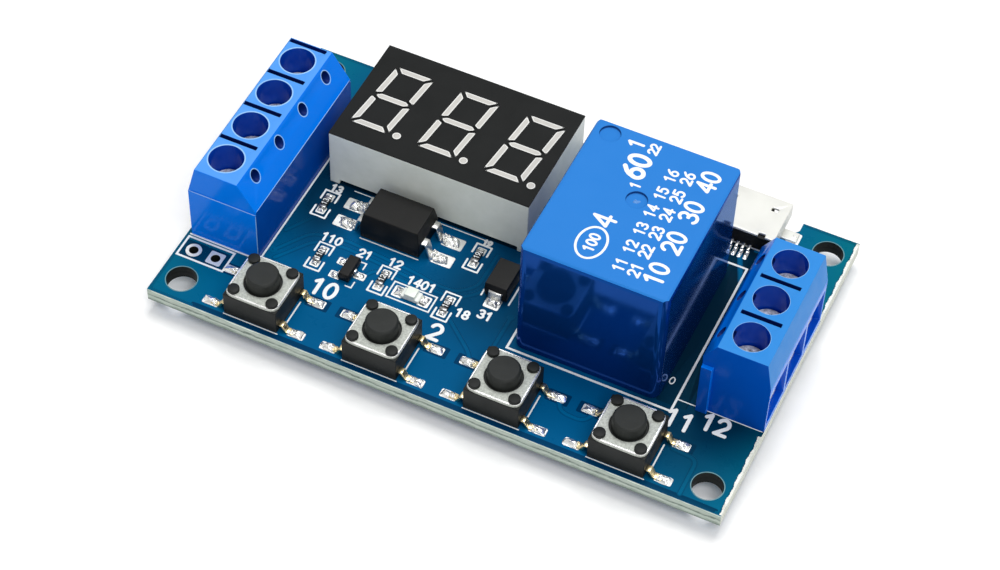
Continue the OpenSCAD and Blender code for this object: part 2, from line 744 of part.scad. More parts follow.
module relay_base() {
    color("navy") at_relay() difference() {
        block([cover_in_w - 2 * base_clear, cover_in_l - 2 * base_clear, relay_base_t],
            relay_base_lift);
        for (p = relay_pin_places) translate([p[0], p[1], 0])
            block([p[2] + 2 * base_clear, p[2] + 2 * base_clear, base_top + over]);
    }
}

module relay_yoke() {
    foot_l = core_y + core_d - (yoke_y - yoke_t / 2);
    color("lightslategray") at_relay() {
        difference() {
            union() {
                translate([0, yoke_y, 0]) block([yoke_w, yoke_t, hinge_z - base_top], base_top);
                translate([0, yoke_y, hinge_z]) rotate([0, 90, 0])
                    cylinder(h = yoke_w, d = yoke_t, center = true);
                translate([0, yoke_y - yoke_t / 2 + foot_l / 2, 0])
                    block([yoke_w, foot_l, yoke_t], base_top);
                translate([0, yoke_y, 0]) through_pin(relay_pin, base_top + yoke_t);
            }
            translate([0, core_y, base_top - over])
                cylinder(h = yoke_t + 2 * over, d = core_d + 2 * base_clear);
        }
    }
}

module relay_core() {
    color("gray") at_relay() translate([0, core_y, 0]) {
        translate([0, 0, base_top]) cylinder(h = bobbin_top - base_top, d = core_d);
        translate([0, 0, bobbin_top]) cylinder(h = pole_t, d = pole_d);
    }
}

module relay_bobbin() {
    lower_w = 2 * relay_pin_x + coil_pin + 2 * base_clear;
    color("white") at_relay() difference() {
        union() {
            translate([0, core_y, bobbin_z]) cylinder(h = bobbin_top - bobbin_z, d = bobbin_d);
            translate([0, core_y, bobbin_top - flange_t]) cylinder(h = flange_t, d = flange_d);
            translate([0, core_y, 0]) block([lower_w, flange_d, flange_t], bobbin_z);
        }
        translate([0, core_y, bobbin_z - over])
            cylinder(h = bobbin_top - bobbin_z + 2 * over, d = core_d + 2 * base_clear);
        for (x = [-1, 1]) translate([x * relay_pin_x, coil_pin_y, 0])
            block([coil_pin + 2 * base_clear, coil_pin + 2 * base_clear, flange_t + 2 * over],
                bobbin_z - over);
    }
}

module relay_coil() {
    coil_h = bobbin_top - bobbin_z - 2 * flange_t;
    color("sienna") at_relay() translate([0, core_y, bobbin_z + flange_t]) difference() {
        cylinder(h = coil_h, d = coil_d);
        translate([0, 0, -over]) cylinder(h = coil_h + 2 * over, d = bobbin_d);
    }
}

module relay_coil_pins() {
    color("silver") at_relay() for (x = [-1, 1])
        translate([x * relay_pin_x, coil_pin_y, 0]) through_pin(coil_pin, bobbin_z + flange_t);
}

module relay_armature() {
    armature_l = armature_end - yoke_y + yoke_t / 2;
    color("lightslategray") at_relay() translate([0, yoke_y - yoke_t / 2 + armature_l / 2, 0])
        block([yoke_w, armature_l, armature_t], armature_z);
}

module relay_contact_blade() {
    color("peru") at_relay() {
        translate([0, (yoke_y + blade_end) / 2, 0])
            block([blade_w, blade_end - yoke_y, blade_t], blade_z);
        translate([0, contact_y, blade_z - contact_h])
            cylinder(h = 2 * contact_h + blade_t, d = contact_d);
    }
}

// A fixed contact: a pin, an upright strip at one side and a strip across to the button
module fixed_contact(side, strip_z, button_z) {
    reach = relay_pin_x + strip_t / 2 + contact_d / 2;
    translate([side * relay_pin_x, contact_y, 0]) {
        through_pin(relay_pin, base_top);
        block([strip_t, contact_d, strip_z + strip_t - base_top], base_top);
    }
    translate([side * (relay_pin_x + strip_t / 2 - reach / 2), contact_y, 0])
        block([reach, contact_d, strip_t], strip_z);
    translate([0, contact_y, button_z]) cylinder(h = contact_h, d = contact_d);
}

module relay_break_contact() {
    color("silver") at_relay() fixed_contact(1, break_strip_z, break_strip_z - contact_h);
}

module relay_make_contact() {
    color("silver") at_relay() fixed_contact(-1, make_strip_z, make_strip_z + strip_t);
}

// All lit areas of the display's face
module lit_areas() {
    for (place = digit_places) translate([place, 0]) {
        for (bar = digit_bars) polygon(bar);
        translate(dot_at) circle(d = dot_d);
    }
}

// The light emitting chips: one under the middle of each lit area
module light_chips(clear = 0) {
    side = chip_size + 2 * clear;
    for (place = digit_places, at = concat([for (bar = digit_bars) middle(bar)], [dot_at]))
        translate([place + at[0], at[1], 0]) block([side, side, chip_size / 2 + clear], recess_h);
}

module display_case() {
    color("gainsboro") at_display() difference() {
        block([display_w, display_l, case_h]);
        block([display_in_w, display_in_l, recess_h + over], -over);
        block([display_w - 2 * foot_w, display_l + 2 * over, foot_h + over], -over);
        linear_extrude(case_h + over) lit_areas();
    }
}

module display_face() {
    color("black") at_display() translate([0, 0, case_h]) linear_extrude(face_t) difference() {
        square([display_w, display_l], center = true);
        lit_areas();
    }
}

module display_segments() {
    color("gainsboro") at_display() difference() {
        translate([0, 0, recess_h]) linear_extrude(display_h - recess_h) lit_areas();
        light_chips(chip_clear);
    }
}

module display_board() {
    color("darkgreen") at_display() {
        block([display_in_w - 2 * display_board_clear, display_in_l - 2 * display_board_clear,
            display_board_t], display_lift);
        light_chips();
    }
}

module display_pins() {
    color("silver") at_display() for (place = display_pin_places)
        translate(place) through_pin(display_pin, display_lift);
}

// A terminal block: outward is +X, the row of poles runs along Y
module housing(poles, inner, outer, top_inner, top_outer, slope, outer_slope, end) {
    length = block_l(poles, end);
    difference() {
        rotate([90, 0, 0]) linear_extrude(length, center = true) polygon([
            [-inner, 0], [-inner, block_h - slope], [-top_inner, block_h], [top_outer, block_h],
            [outer, block_h - outer_slope], [outer, 0]]);
        for (k = [1:poles]) at_pole(poles, k) pole_cuts(inner, outer);
        for (k = [2:poles]) at_pole(poles, k - 0.5) pole_slot();
    }
}

// A shallow slot in the top of a block, along X
module pole_slot() { block([slot_l, slot_w, slot_depth + over], block_h - slot_depth); }

// What one pole takes out of its block: wire entry, clamp pocket, driver hole, vent and pin hole
module pole_cuts(inner, outer) {
    pocket_h = pocket_top - block_floor;
    translate([box_back - box_clear, -pocket_w / 2, block_floor])
        cube([outer + over - box_back + box_clear, pocket_w, pocket_h]);
    translate([0, 0, block_floor]) linear_extrude(pocket_h) polygon([
        [outer - mouth_depth, -pocket_w / 2], [outer, -pocket_w / 2 - mouth_flare],
        [outer + over, -pocket_w / 2 - mouth_flare], [outer + over, pocket_w / 2 + mouth_flare],
        [outer, pocket_w / 2 + mouth_flare], [outer - mouth_depth, pocket_w / 2]]);
    translate([0, 0, pocket_top - over]) cylinder(h = block_h - pocket_top + 2 * over, d = driver_d);
    translate([0, 0, block_h - vent_drop]) rotate([0, -90, 0]) cylinder(h = inner + over, d = vent_d);
    block([terminal_pin + 2 * box_clear, terminal_pin + 2 * box_clear, block_floor + 2 * over], -over);
}

// A metal box around the wire, with a threaded top and a pin to the board
module clamp_box() {
    difference() {
        block([box_l, box_w, box_h], block_floor);
        block([box_l + 2 * over, box_w - 2 * box_wall, box_h - box_floor - box_top],
            block_floor + box_floor);
        translate([0, 0, block_floor + box_h - box_top - over])
            cylinder(h = box_top + 2 * over, d = screw_d + 2 * screw_clear);
    }
    through_pin(terminal_pin, block_floor);
}

// The plate that a screw presses down on the wire
module pressure_plate() { block([plate_l, plate_w, plate_t], plate_z); }

module terminal_screw() {
    difference() {
        union() {
            translate([0, 0, screw_tip]) cylinder(h = screw_seat - screw_tip, d = screw_d);
            translate([0, 0, screw_seat]) cylinder(h = screw_head_h, d = screw_head_d);
        }
        translate([0, 0, screw_seat + screw_head_h - screw_slot_depth]) {
            block([screw_head_d + over, screw_slot_w, screw_slot_depth + over]);
            block([screw_slot_w, screw_cross_l, screw_slot_depth + over]);
        }
    }
}

module input_housing() {
    length = block_l(input_poles, input_end);
    step_z = block_h - input_outer_slope;
    color("dodgerblue") at_input() difference() {
        housing(input_poles, input_inner, input_outer, input_top_inner, input_top_outer,
            input_slope, input_outer_slope, input_end);
        for (side = [-1, 1]) translate([0, side * length / 2, 0])
            block([2 * input_inner + over, 2 * end_step, block_h], step_z);
        translate([0, -length / 2 + end_step + end_slot_wall + slot_w / 2, 0]) pole_slot();
    }
}

module output_housing() {
    length = block_l(output_poles, output_end);
    rib_x = -(output_inner + output_top_inner) / 2;
    color("dodgerblue") at_output() {
        difference() {
            housing(output_poles, output_inner, output_outer, output_top_inner, output_top_outer,
                output_slope, output_outer_slope, output_end);
            translate([rib_x, length / 2, 0])
                block([rib_w + 2 * box_clear, 2 * rib_reach + 2 * box_clear, rib_h + over], -over);
        }
        translate([rib_x, -(length + rib_reach) / 2, 0]) block([rib_w, rib_reach, rib_h]);
    }
}

module input_contacts() {
    color("silver") at_input() for (k = [1:input_poles]) at_pole(input_poles, k) clamp_box();
}

module output_contacts() {
    color("silver") at_output() for (k = [1:output_poles]) at_pole(output_poles, k) clamp_box();
}

module input_clamp(k) { color("gold") at_input() at_pole(input_poles, k) pressure_plate(); }
module output_clamp(k) { color("gold") at_output() at_pole(output_poles, k) pressure_plate(); }
module input_screw(k) { color("silver") at_input() at_pole(input_poles, k) terminal_screw(); }
module output_screw(k) { color("silver") at_output() at_pole(output_poles, k) terminal_screw(); }

// Places of the four corner stakes of a switch
module at_stakes() {
    for (x = [-1, 1], y = [-1, 1]) translate([x * stake_pitch / 2, y * stake_pitch / 2, 0]) children();
}

module switch_base(index) {
    color("black") at_switch(index) {
        difference() {
            block([switch_size, switch_size, switch_h]);
            translate([0, 0, switch_floor]) cylinder(h = switch_h, d = well_d);
        }
        at_stakes() translate([0, 0, switch_h]) cylinder(h = cover_t + stake_rise, d = stake_d);
    }
}

module switch_cover(index) {
    color("silver") at_switch(index) translate([0, 0, switch_h]) linear_extrude(cover_t) difference() {
        rounded_rect([cover_size, cover_size], cover_r);
        circle(d = cover_hole_d);
        at_stakes() circle(d = stake_d + 2 * stake_clear);
    }
}

module switch_button(index) {
    top = switch_h + cover_t + button_rise;
    color("black") at_switch(index) {
        translate([0, 0, nub_z]) cylinder(h = collar_z - nub_z, d = nub_d);
        translate([0, 0, collar_z]) cylinder(h = collar_t, d = collar_d);
        translate([0, 0, collar_top]) cylinder(h = top - button_bevel - collar_top, d = button_d);
        translate([0, 0, top - button_bevel])
            cylinder(h = button_bevel, d1 = button_d, d2 = button_d - 2 * button_bevel);
    }
}

module switch_domes() {
    color("silver") for (index = [1:4]) at_switch(index) intersection() {
        translate([0, 0, dome_top - dome_r]) difference() {
            sphere(dome_r);
            sphere(dome_r - dome_t);
        }
        translate([0, 0, switch_floor]) cylinder(h = dome_rise + over, d = dome_d);
    }
}

module switch_legs() {
    color("gold") for (index = [1:4]) at_switch(index)
        for (turn = [0, 180], y = [-1, 1]) rotate([0, 0, turn])
            translate([switch_size / 2, y * leg_pitch / 2, 0]) gull_lead(leg_exit, leg_reach, leg_w);
}

module optocoupler() {
    place = before_display(opto_at);
    exit = body_lift + opto_size[2] / 2;
    color("black") on_board(place[0], place[1]) {
        drafted(opto_size, body_draft, body_lift, foot_draft);
        for (turn = [0, 180], y = [-1, 1]) rotate([0, 0, turn])
            translate([opto_size[0] / 2, y * opto_lead_pitch / 2, 0])
                gull_lead(exit, opto_reach, opto_lead_w, lead_root);
    }
}

module transistor() {
    place = behind_switches(transistor_at);
    exit = body_lift + transistor_size[2] / 2;
    color("black") on_board(place[0], place[1]) {
        drafted(transistor_size, small_draft, body_lift, small_draft);
        translate([transistor_size[0] / 2, 0, 0])
            gull_lead(exit, transistor_reach, transistor_lead_w, lead_root);
        for (y = [-1, 1]) rotate([0, 0, 180])
            translate([transistor_size[0] / 2, y * transistor_lead_pitch / 2, 0])
                gull_lead(exit, transistor_reach, transistor_lead_w, lead_root);
    }
}

module diode() {
    exit = body_lift + diode_size[2] / 2;
    color("black") on_board(relay_left - diode_at[0], display_front - diode_at[1]) {
        drafted(diode_size, small_draft, body_lift, small_draft);
        for (turn = [90, 270]) rotate([0, 0, turn]) translate([diode_size[1] / 2, 0, 0])
            gull_lead(exit, diode_reach, diode_lead_w, lead_root);
    }
}

module chip_resistors() {
    color("black") {
        for (place = resistor_back_at) translate([0, 0, board_t])
            translate(before_display(place)) chip(resistor_size);
        for (place = resistor_front_at) translate([0, 0, board_t])
            translate(behind_switches(place)) chip(resistor_size);
    }
}

module indicator() {
    place = behind_switches(indicator_at);
    color("honeydew") on_board(place[0], place[1]) {
        block(indicator_size);
        block([lens_l, indicator_size[1], lens_h], indicator_size[2]);
    }
}

module controller() {
    exit = body_lift + controller_size[2] / 2;
    color("black") at_display() translate([-controller_at, 0, 0]) {
        drafted(controller_size, small_draft, body_lift, small_draft);
        for (turn = [90, 270], index = [1:controller_leads]) rotate([0, 0, turn])
            translate([controller_size[1] / 2, (index - (controller_leads + 1) / 2) * controller_pitch, 0])
                gull_lead(exit, controller_reach, controller_lead_w, lead_root);
    }
}

module regulator() {
    exit = body_lift + lead_t / 2;
    color("black") at_display() translate([display_in_w / 2 - regulator_inset, 0, 0]) {
        drafted(regulator_size, small_draft, body_lift, small_draft);
        for (index = [-1:1]) translate([regulator_size[0] / 2 - small_draft, index * regulator_pitch, 0])
            gull_lead(exit, regulator_reach, regulator_lead_w, lead_root);
    }
}

module chip_capacitors() {
    color("tan") at_display() for (index = [-1:1])
        translate([-display_in_w / 2 + capacitor_inset, index * capacitor_pitch, 0]) chip(capacitor_size);
}

// The socket's section: bevelled at its lower corners
module socket_section(width, height, bevel) {
    polygon([[-width / 2 + bevel, 0], [width / 2 - bevel, 0], [width / 2, bevel],
        [width / 2, height], [-width / 2, height], [-width / 2, bevel]]);
}

// A bar with that section, along +Y from the back of the socket
module socket_bar(length, inset) {
    translate([0, length, inset]) rotate([90, 0, 0]) linear_extrude(length)
        socket_section(usb_w - 2 * inset, usb_h - 2 * inset, usb_bevel);
}

module socket_shell() {
    color("whitesmoke") at_socket() {
        difference() {
            socket_bar(usb_l, 0);
            translate([0, -over, 0]) socket_bar(usb_l + 2 * over, usb_wall);
            for (side = [-1, 1], y = [window_l / 2, usb_l - window_inset])
                translate([side * window_x, y, usb_h - usb_wall])
                    block([window_w, window_l, usb_wall + over], -over / 2);
        }
        for (side = [-1, 1])
            translate([side * (usb_w / 2 + (tab_reach - usb_bevel) / 2), usb_l - tab_inset, 0])
                block([tab_reach + usb_bevel, tab_w, usb_wall]);
    }
}

module socket_insert() {
    tongue_l = usb_l - tongue_inset - insert_l;
    color("black") at_socket() {
        socket_bar(insert_l, usb_wall + insert_clear);
        translate([0, insert_l + tongue_l / 2, 0])
            block([tongue_w, tongue_l, tongue_t], usb_h / 2);
        for (index = [1:usb_tails])
            translate([(index - (usb_tails + 1) / 2) * tail_pitch, 0, usb_wall + insert_clear])
                rotate([0, 0, -90]) contact_tail();
    }
}

// A contact tail that leaves the back of the insulator and steps down to the board
module contact_tail() {
    drop = usb_wall + insert_clear;
    translate([0, -tail_w / 2, 0]) cube([tail_reach / 2 + lead_t, tail_w, lead_t]);
    translate([tail_reach / 2, -tail_w / 2, -drop]) cube([tail_reach / 2, tail_w, drop]);
}

circuit_board();
solder_joints();
relay_cover();
relay_base();
relay_yoke();
relay_core();
relay_bobbin();
relay_coil();
relay_coil_pins();
relay_armature();
relay_contact_blade();
relay_break_contact();
relay_make_contact();
display_case();
display_face();
display_segments();
display_board();
display_pins();
input_housing();
input_contacts();
input_clamp(1);  // input_clamp_1
input_clamp(2);  // input_clamp_2
input_clamp(3);  // input_clamp_3
input_clamp(4);  // input_clamp_4
input_screw(1);  // input_screw_1
input_screw(2);  // input_screw_2
input_screw(3);  // input_screw_3
input_screw(4);  // input_screw_4
output_housing();
output_contacts();
output_clamp(1);  // output_clamp_1
output_clamp(2);  // output_clamp_2
output_clamp(3);  // output_clamp_3
output_screw(1);  // output_screw_1
output_screw(2);  // output_screw_2
output_screw(3);  // output_screw_3
switch_base(1);  // switch_base_1
switch_base(2);  // switch_base_2
switch_base(3);  // switch_base_3
switch_base(4);  // switch_base_4
switch_cover(1);  // switch_cover_1
switch_cover(2);  // switch_cover_2
switch_cover(3);  // switch_cover_3
switch_cover(4);  // switch_cover_4
switch_button(1);  // switch_button_1
switch_button(2);  // switch_button_2
switch_button(3);  // switch_button_3
switch_button(4);  // switch_button_4
switch_domes();
switch_legs();
optocoupler();
transistor();
diode();
chip_resistors();
indicator();
controller();
regulator();
chip_capacitors();
socket_shell();
socket_insert();
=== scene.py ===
"""Looks of the timer relay module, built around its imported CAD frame.

Lengths in this file are millimetres in the frame that the CAD uses, with +Z up and the board's underside at
zero. They become metres where a mesh is made.
"""

from __future__ import annotations

import logging
import math
from collections.abc import Callable, Iterator, Sequence
from dataclasses import dataclass, field
from enum import Enum

import bmesh
import bpy
import numpy as np
from mathutils import Matrix, Vector

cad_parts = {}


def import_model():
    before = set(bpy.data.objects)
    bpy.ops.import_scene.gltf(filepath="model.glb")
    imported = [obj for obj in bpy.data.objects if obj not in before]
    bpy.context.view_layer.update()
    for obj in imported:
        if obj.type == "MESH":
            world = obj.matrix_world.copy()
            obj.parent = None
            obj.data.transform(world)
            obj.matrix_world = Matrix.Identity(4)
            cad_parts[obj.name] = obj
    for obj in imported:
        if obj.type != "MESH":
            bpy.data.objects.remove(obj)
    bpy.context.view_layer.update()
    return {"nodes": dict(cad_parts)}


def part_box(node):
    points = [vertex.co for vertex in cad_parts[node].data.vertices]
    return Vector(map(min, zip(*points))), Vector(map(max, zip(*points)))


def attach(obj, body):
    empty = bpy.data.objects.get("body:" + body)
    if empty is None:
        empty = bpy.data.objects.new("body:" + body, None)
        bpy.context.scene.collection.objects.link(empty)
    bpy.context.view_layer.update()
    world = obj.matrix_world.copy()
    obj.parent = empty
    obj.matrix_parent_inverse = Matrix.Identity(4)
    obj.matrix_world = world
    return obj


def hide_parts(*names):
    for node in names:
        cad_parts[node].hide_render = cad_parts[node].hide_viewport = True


LOG = logging.getLogger("timer_relay")
ROOT_BODY = "module"

MM = 0.001  # metres
WELD_GAP = 2e-6  # metres within which the loose triangles of a CAD node are joined
POLE_GAP = 1e-7  # metres within which points of a new surface are one
FLAT_GAP = 1e-8  # metres below which an edge of a new surface has no length
BOARD_TOP = 1.6  # height of the board's upper side
HAIR = 0.01  # a gap or overlap too small to be seen
SIGNS = (-1.0, 1.0)  # the two sides of a mirrored pair

MITRE_LIMIT = 0.5  # least cosine that a mitre is worked out with
LIP_SHARE = 0.2  # most of a strip's width that one bevelled side takes up
EDGE_SLOPE = 0.5  # width of a plate's bevelled edge for each unit of its thickness
STRIP_LEVELS = np.array([0.0, 1.0, 1.0, 0.0])  # share of the thickness across a strip
PLATE_LEVELS = np.array([0.0, 0.0, 1.0, 1.0])  # share of the thickness at the four rings of a plate
MOUND_SIDES = 40  # points round a solder mound
WINDOW_POWER = 14.0  # outline of a rectangle with small round corners
SHARP_POWER = 40.0  # outline of a rectangle with crisp corners

COAT_ROUGHNESS = 0.08
BUMP_STRENGTH = 0.6
MASK_GLOSS = (0.05, 0.5, 0.8)  # tint of the solder mask's shine

LINK_GAP = 0.9  # points of one solder joint lie closer together than this
LINK_ROUNDS = 2  # each round doubles the steps that a link covers

Colour = tuple[float, float, float]
Point = tuple[float, float]
Place = tuple[float, float, float]
Pair = tuple[Point, Point]
Number = tuple[str, Point, float, float]  # text, foot, height and width of the strokes
Stroke = tuple[np.ndarray, bool]  # points, and whether the last leads back to the first
Picker = Callable[[np.ndarray, np.ndarray], np.ndarray]


class Face(Enum):
    """The two sides of the board, with the height of each and the way out of it."""

    TOP = (BOARD_TOP, 1.0)
    UNDER = (0.0, -1.0)

    @property
    def height(self) -> float:
        """Height of this side of the board."""
        return self.value[0]

    @property
    def outward(self) -> float:
        """1 where the side faces up, -1 where it faces down."""
        return self.value[1]


# Surfaces worked out as whole arrays


def unit(vectors: np.ndarray) -> np.ndarray:
    """Each vector divided by its length."""
    return vectors / np.maximum(np.linalg.norm(vectors, axis=-1, keepdims=True), 1e-12)


def eased(points: Sequence[Point], radius: float, steps: int = 7, closed: bool = False) -> np.ndarray:
    """Polyline with soft corners: each corner becomes a quadratic curve whose ends lie radius away from it.

    Args:
        points: Corner points of the polyline.
        radius: Distance from a corner at which its curve starts, at most half of the shorter leg.
        steps: Points on each curve.
        closed: The polyline comes back to its first point.

    Returns:
        Array of points, two numbers each.
    """
    path = np.asarray(points, float)
    if len(path) < 3:
        return path
    if closed:
        path = np.vstack([path[-1:], path, path[:1]])
    corner = path[1:-1]

    def cut(far: np.ndarray) -> np.ndarray:
        """Point on the leg towards far where the curve of each corner starts."""
        leg = far - corner
        reach = np.minimum(radius, 0.5 * np.linalg.norm(leg, axis=1))
        return corner + unit(leg) * reach[:, None]

    before, after = cut(path[:-2])[:, None], cut(path[2:])[:, None]
    t = np.linspace(0.0, 1.0, steps)[None, :, None]
    curves = (1 - t) ** 2 * before + 2 * t * (1 - t) * corner[:, None] + t**2 * after
    curve = curves.reshape(-1, 2)
    return curve if closed else np.vstack([path[:1], curve, path[-1:]])


def arc(centre: Point, radii: Point, start: float, end: float, count: int = 16) -> np.ndarray:
    """Points on an ellipse: centre plus radii times (cos, sin) of evenly spaced angles.

    Args:
        centre: Middle of the ellipse.
        radii: Its two half widths.
        start: First angle in degrees.
        end: Last angle in degrees.
        count: Number of points.

    Returns:
        Array of points, two numbers each.
    """
    angle = np.radians(np.linspace(start, end, count))
    return np.stack([centre[0] + radii[0] * np.cos(angle), centre[1] + radii[1] * np.sin(angle)], -1)


def superellipse(half: Point, power: float, count: int = 48) -> np.ndarray:
    """Outline between an ellipse and a box: half width times sign(cos)|cos|^(2/power), and the same with sin.

    Args:
        half: Half widths along x and y.
        power: 2 gives an ellipse, 8 or more a box with rounded corners.
        count: Number of points round the outline.

    Returns:
        Array of points round the outline.
    """
    angle = np.linspace(0.0, 2 * np.pi, count, endpoint=False)
    wave = np.stack([np.cos(angle), np.sin(angle)], -1)
    return np.sign(wave) * np.abs(wave) ** (2.0 / power) * np.asarray(half)


def moved(points: Sequence[Point], by: Point) -> list[Point]:
    """Points moved by an offset."""
    return [(by[0] + x, by[1] + y) for x, y in points]


def beyond(axis: int, middle: float, reach: float) -> Picker:
    """Picks index 1 for faces whose middles lie further than reach from a place along an axis, else 0."""
    return lambda centres, normals: (np.abs(centres[:, axis] - middle) > reach).astype(np.int32)


def box_path(low: Point, high: Point) -> list[Point]:
    """Corner points of an upright rectangle, going round."""
    return [low, (high[0], low[1]), high, (low[0], high[1])]


def mitres(path: np.ndarray, closed: bool) -> tuple[np.ndarray, np.ndarray, np.ndarray]:
    """Directions at the points of a path, midway between the legs before and after each point.

    Args:
        path: Points of the path, in x and y.
        closed: The path comes back to its first point.

    Returns:
        Direction along the path, direction to its left, and cosine of half the turn, held at the mitre limit.
    """
    step = unit(np.diff(np.vstack([path, path[:1]]) if closed else path, axis=0))
    if closed:
        ahead, behind = step, np.roll(step, 1, axis=0)
    else:
        ahead, behind = np.vstack([step, step[-1:]]), np.vstack([step[:1], step])
    along = unit(ahead + behind)
    side = np.stack([-along[:, 1], along[:, 0]], -1)
    return along, side, np.maximum(np.sum(along * ahead, axis=1), MITRE_LIMIT)


class Patchwork:
    """Collects grids of points, in millimetres, and makes one mesh object of them."""

    def __init__(self) -> None:
        """Starts with no points."""
        self.points: list[np.ndarray] = []
        self.quads: list[np.ndarray] = []
        self.count = 0

    def grid(self, points: np.ndarray, around: bool = False, closed: bool = False) -> None:
        """Adds a grid and the quads between its neighbouring points.

        Args:
            points: Array of rows, columns and three coordinates.
            around: Joins the last column to the first.
            closed: Joins the last row to the first.
        """
        rows, columns = points.shape[:2]
        index = np.arange(rows * columns).reshape(rows, columns) + self.count
        if closed:
            index = np.vstack([index, index[:1]])
        if around:
            index = np.hstack([index, index[:, :1]])
        quads = np.stack([index[:-1, :-1], index[:-1, 1:], index[1:, 1:], index[1:, :-1]], -1)
        self.points.append(points.reshape(-1, 3))
        self.quads.append(quads.reshape(-1, 4))
        self.count += rows * columns

    def rings(self, xy: np.ndarray, heights: np.ndarray, closed: bool = False) -> None:
        """Adds level rings of points and the quads between them.

        Args:
            xy: Array of rings, points in each ring and two coordinates.
            heights: Height of each ring.
            closed: Joins the last ring to the first.
        """
        level = np.broadcast_to(heights[:, None, None], (*xy.shape[:2], 1))
        self.grid(np.concatenate([xy, level], -1), around=True, closed=closed)

    def ribbon(
        self, path: np.ndarray, width: float, base: float, rise: float, closed: bool = False, caps: int = 6
    ) -> None:
        """Adds a flat strip with bevelled sides: a low trapezium carried along the path, with round ends.

        At a round end the half width follows r sin t while the strip runs on by r cos t.

        Args:
            path: Points of the middle line, in x and y.
            width: Width of the strip.
            base: Height of the surface it lies on.
            rise: Thickness, negative below a surface that faces down.
            closed: The path comes back to its first point.
            caps: Stations in each round end.
        """
        path = np.asarray(path, float)
        along, side, narrow = mitres(path, closed)
        half, centre = 0.5 * width / narrow, path
        if not closed:
            t, r = np.linspace(0.0, np.pi / 2, caps)[:-1], 0.5 * width
            head = path[0] - along[0] * (r * np.cos(t))[:, None]
            tail = path[-1] + along[-1] * (r * np.cos(t[::-1]))[:, None]
            centre = np.vstack([head, path, tail])
            half = np.concatenate([r * np.sin(t), half, r * np.sin(t[::-1])])
            side = np.vstack([np.repeat(side[:1], caps - 1, 0), side, np.repeat(side[-1:], caps - 1, 0)])
        lip = min(abs(rise), LIP_SHARE * width)
        crest = np.maximum(half - lip, 0)
        across = np.stack([-half, -crest, crest, half], -1)
        xy = centre[:, None, :] + side[:, None, :] * across[..., None]
        z = np.broadcast_to(base + rise * STRIP_LEVELS, across.shape)
        self.grid(np.concatenate([xy, z[..., None]], -1), around=True, closed=closed)

    def plate(self, centre: Point, half: Point, base: float, rise: float, power: float = 9.0) -> None:
        """Adds a thin plate: rings from the middle below, out to the outline, up, and to the middle above.

        Args:
            centre: Middle of the plate.
            half: Half widths.
            base: Height of the surface it lies on.
            rise: Thickness.
            power: Shape of the outline, as in superellipse.
        """
        scale = np.array([0.0, 1.0, 1.0 - EDGE_SLOPE * abs(rise) / min(half), 0.0])
        xy = np.asarray(centre) + superellipse(half, power)[None] * scale[:, None, None]
        self.rings(xy, base + rise * PLATE_LEVELS)

    def washer(
        self, centre: Point, half: Point, hole: float, base: float, rise: float, power: float = 2.0
    ) -> None:
        """Adds a thin plate with a round hole: a ring of inner edge and outline below, then the two above.

        Args:
            centre: Middle of the hole.
            half: Half widths of the outline.
            hole: Radius of the hole.
            base: Height of the surface it lies on.
            rise: Thickness.
            power: Shape of the outline, as in superellipse.
        """
        rim, bore = superellipse(half, power), superellipse((hole, hole), 2.0)
        upper = rim * (1 - EDGE_SLOPE * abs(rise) / min(half))
        xy = np.asarray(centre) + np.stack([bore, rim, upper, bore])
        self.rings(xy, base + rise * PLATE_LEVELS, closed=True)

    def mound(
        self, centre: Point, half: Point, base: float, rise: float, seed: int, power: float, lumps: float
    ) -> None:
        """Adds a solder mound: height rise (1 - u^2)^0.65 at share u of the way from the middle to the foot.

        The foot and the height swell and dip with the second to fourth harmonic of the angle.

        Args:
            centre: Middle of the mound.
            half: Half widths of its foot.
            base: Height of the surface it lies on.
            rise: Height at the middle.
            seed: Chooses the phases of the harmonics.
            power: Shape of the foot, as in superellipse.
            lumps: Share by which the outline and the height wander.
        """
        luck = np.random.default_rng(seed)
        phase, weight = luck.uniform(0, 2 * np.pi, 6), luck.uniform(0.4, 1.0, 6)
        angle = np.linspace(0, 2 * np.pi, MOUND_SIDES, endpoint=False)
        order = np.tile(np.arange(2, 5), 2)[:, None]
        wave = weight[:, None] * np.cos(order * angle + phase[:, None])
        wander = 1 - lumps * 0.5 + lumps * 0.4 * np.sum(wave[:3], 0)
        u = np.linspace(0.0, 1.0, 11)[:, None]
        swell = 1 + 2.2 * lumps * u * np.sum(wave[3:], 0)[None] / 1.5
        rim = superellipse(half, power, MOUND_SIDES) * wander[:, None]
        xy = np.asarray(centre) + rim[None] * u[..., None]
        z = base + rise * np.maximum(1 - u**2, 0) ** 0.65 * swell
        foot = np.broadcast_to(np.append(np.asarray(centre), base), (1, MOUND_SIDES, 3))
        self.grid(np.concatenate([np.concatenate([xy, z[..., None]], -1), foot]), around=True)

    def lathe(self, centre: Point, profile: np.ndarray, count: int = 32) -> None:
        """Adds a turned shape: radius and height pairs carried round a vertical axis.

        Args:
            centre: Place of the axis.
            profile: Array of radius and height pairs, from axis to axis.
            count: Points in one turn.
        """
        angle = np.linspace(0, 2 * np.pi, count, endpoint=False)
        wheel = np.stack([np.cos(angle), np.sin(angle)], -1)
        self.rings(np.asarray(centre) + profile[:, None, :1] * wheel[None], profile[:, 1])

